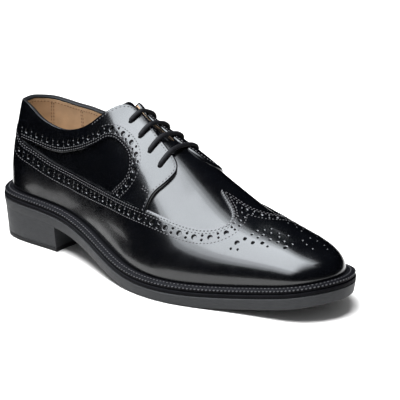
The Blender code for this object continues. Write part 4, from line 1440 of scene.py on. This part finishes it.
def make_sole(edge_material, lift_material, lining_material):
    """Outsole, heel and insole."""
    def flat(height):
        return lambda x: np.full_like(x, height)

    def ground(above):
        return lambda x: np.maximum(underside(x), 0.0) + above

    def layer(above):
        return lambda x: level(x, above)

    outsole = [(SOLE_UNDERCUT + inset, ground(above)) for inset, above in OUTSOLE_LOW]
    outsole += [(inset, layer(SOLE_THICKNESS - depth)) for inset, depth in OUTSOLE_HIGH]
    foot = SOLE_UNDERCUT + HEEL_TAPER
    heel = [(foot + inset, flat(LIFT_THICKNESS + above)) for inset, above in HEEL_LOW]
    heel.append((0.5 * (foot + SOLE_UNDERCUT), lambda x: 0.5 * (LIFT_THICKNESS + underside(x))))
    heel += [(SOLE_UNDERCUT + inset, ground(above)) for inset, above in HEEL_HIGH]
    lift = [(foot + inset, flat(height)) for inset, height in LIFT_EDGE]
    filling, top = SOLE_THICKNESS + SEAT_GAP, SOLE_THICKNESS + WELT_HEIGHT + SEAT_GAP
    inner, outer = WELT_SECTION[0][0] + SEAT_GAP, FEATHER_INSET + INSOLE_MARGIN
    insole = [(inner, layer(filling)), (inner, layer(top))]
    insole += [(outer + inset, layer(top + above)) for inset, above in INSOLE_EDGE]
    for name, profile, end_x, material, slot, node in (
            ("outsole_edge", outsole, None, edge_material, "sole", "outsole"),
            ("heel_stack", heel, HEEL_BREAST_X, edge_material, "sole", "heel_block"),
            ("heel_lift_rubber", lift, HEEL_BREAST_X, lift_material, "lift", "heel_lift"),
            ("insole_sock", insole, None, lining_material, "lining", "insole")):
        add_piece(name, slab_mesh(name, profile, end_x), material, slot, node)


def make_welt(material, thread_material):
    """Ring swept round the sole, with its ribbed lower bead, and its two seams."""
    rim = Rim(0.0)
    x = rim.stations(WELT_STEP)
    s = np.concatenate([rim.parameter(x, "lateral"), rim.parameter(x, "medial")[::-1][1:]])

    def round_sole(inset, height):
        """Plan points, outward directions and heights of a line round the sole."""
        line = plan(s, inset)
        return line, unit(plan(s, inset - 1.0) - line), level(line[:, 0], SOLE_THICKNESS + height)

    run = run_length(plan(s, 0.0))
    ribs = run / run[-1] * round(run[-1] / RIB_PITCH)
    rings = []
    for inset, height, share in WELT_SECTION:
        line, outward, z = round_sole(inset, height)
        wave = 2 * np.abs((ribs + RIB_SLANT * height) % 1 - 0.5)
        rings.append(np.c_[line + outward * (RIB_HEIGHT * share * (wave - RIB_LEVEL))[:, None], z])
    make_tube("welt_ring", np.stack(rings, 1)[:-1], material, "welt", "welt", closed=True)
    rows = []
    for inset, height, share in WELT_SEAMS:
        line, outward, z = round_sole(inset, height)
        line = np.c_[line, z]
        length = run_length(line)
        at = np.linspace(0, length[-1], round(length[-1] / WELT_PITCH) + 1)
        ups = np.c_[read_along(outward, length, at) * share, np.full(len(at), math.sqrt(1 - share ** 2))]
        rows.append(between(read_along(line, length, at), unit(ups)))
    make_stitching("welt_stitching", rows, WELT_STITCH_HALF, thread_material, "welt")


# Stage

def make_camera():
    camera = bpy.data.cameras.new("camera")
    camera.sensor_width = SENSOR
    camera.lens = FOCAL_PIXELS / IMAGE_PIXELS * SENSOR
    a, e = math.radians(CAMERA_AZIMUTH), math.radians(CAMERA_ELEVATION)
    way = np.array([math.sin(a) * math.cos(e), -math.cos(a) * math.cos(e), math.sin(e)])
    thing = new_object("camera", camera)
    thing.location = model([CAMERA_TARGET + CAMERA_DISTANCE * way])[0]
    thing.rotation_euler = Vector(-way).to_track_quat("-Z", "Y").to_euler()
    bpy.context.scene.camera = thing


def make_light(name, place, width, length, radiance, colour):
    """Area light that faces straight down."""
    light = bpy.data.lights.new(name, "AREA")
    light.shape = "RECTANGLE"
    light.size = width * MM
    light.size_y = length * MM
    light.energy = radiance * math.pi * light.size * light.size_y
    light.color = colour
    thing = new_object(name, light)
    thing.location = model([place])[0]
    return thing


def make_lights():
    for number, (x, y, *size, radiance) in enumerate(SOFTBOX, 1):
        panel = make_light(f"softbox_{number}", (x, y, SOFTBOX_HEIGHT), *size, radiance, SOFTBOX_COLOUR)
        panel.visible_diffuse = False
    make_light("key", KEY_PLACE, KEY_SIZE, KEY_SIZE, KEY_RADIANCE, (1, 1, 1)).visible_glossy = False
    world = bpy.data.worlds.new("studio")
    world.use_nodes = True
    background = world.node_tree.nodes["Background"].inputs
    background["Color"].default_value = (1, 1, 1, 1)
    background["Strength"].default_value = WORLD_LIGHT
    world.cycles_visibility.glossy = False
    bpy.context.scene.world = world
    bpy.context.scene.view_settings.view_transform = "Standard"


def flat_thing(name, points, faces, material):
    mesh = bpy.data.meshes.new(name)
    mesh.from_pydata(points, [], faces)
    mesh.materials.append(material)
    thing = new_object(name, mesh)
    return thing


def make_floor(floor_material, sheet_material):
    half = 0.5 * FLOOR_SIZE * MM
    corners = [(-half, -half, 0), (half, -half, 0), (half, half, 0), (-half, half, 0)]
    flat_thing("floor", corners, [(0, 1, 2, 3)], floor_material).visible_glossy = False
    corners, faces = [], []
    for sheet in SHEETS:
        faces.append(tuple(range(len(corners), len(corners) + len(sheet))))
        corners += [(x, y, SHEET_HEIGHT) for x, y in sheet]
    sheets = flat_thing("white_sheets", model(corners).tolist(), faces, sheet_material)
    sheets.visible_camera = False
    sheets.visible_diffuse = False
    sheets.visible_shadow = False


finishes = {name: make_finish(name, *values) for name, values in FINISHES.items()}
make_camera()
make_lights()
make_floor(finishes["pale floor"], finishes["mirrored sheet"])

vamp_black = finishes["polished vamp leather"]
overlay_black = finishes["polished overlay leather"]
tan_lining = finishes["tan lining leather"]
black_thread = finishes["black thread"]
fill_grid = fill_places()
make_shell("upper_leather", LINING_TOP, WALL_TOP, EDGE_SETBACK, vamp_black, "vamp_leather", "upper")
make_shell("upper_lining", 0.0, LINING_TOP, LINING_SETBACK, tan_lining, "lining")
make_wing(fill_grid, overlay_black, black_thread)
for facing_side in SIDES:
    make_facing(facing_side, fill_grid, overlay_black, black_thread)
make_binding(finishes["matt binding leather"])
make_lining_seams(finishes["tan thread"])
make_heel_strip(overlay_black, black_thread)
make_tongue(vamp_black)
make_laces(finishes["waxed lace"])
make_sole(finishes["satin sole edge"], finishes["heel lift rubber"], tan_lining)
make_welt(finishes["welt leather"], finishes["waxed welt thread"])
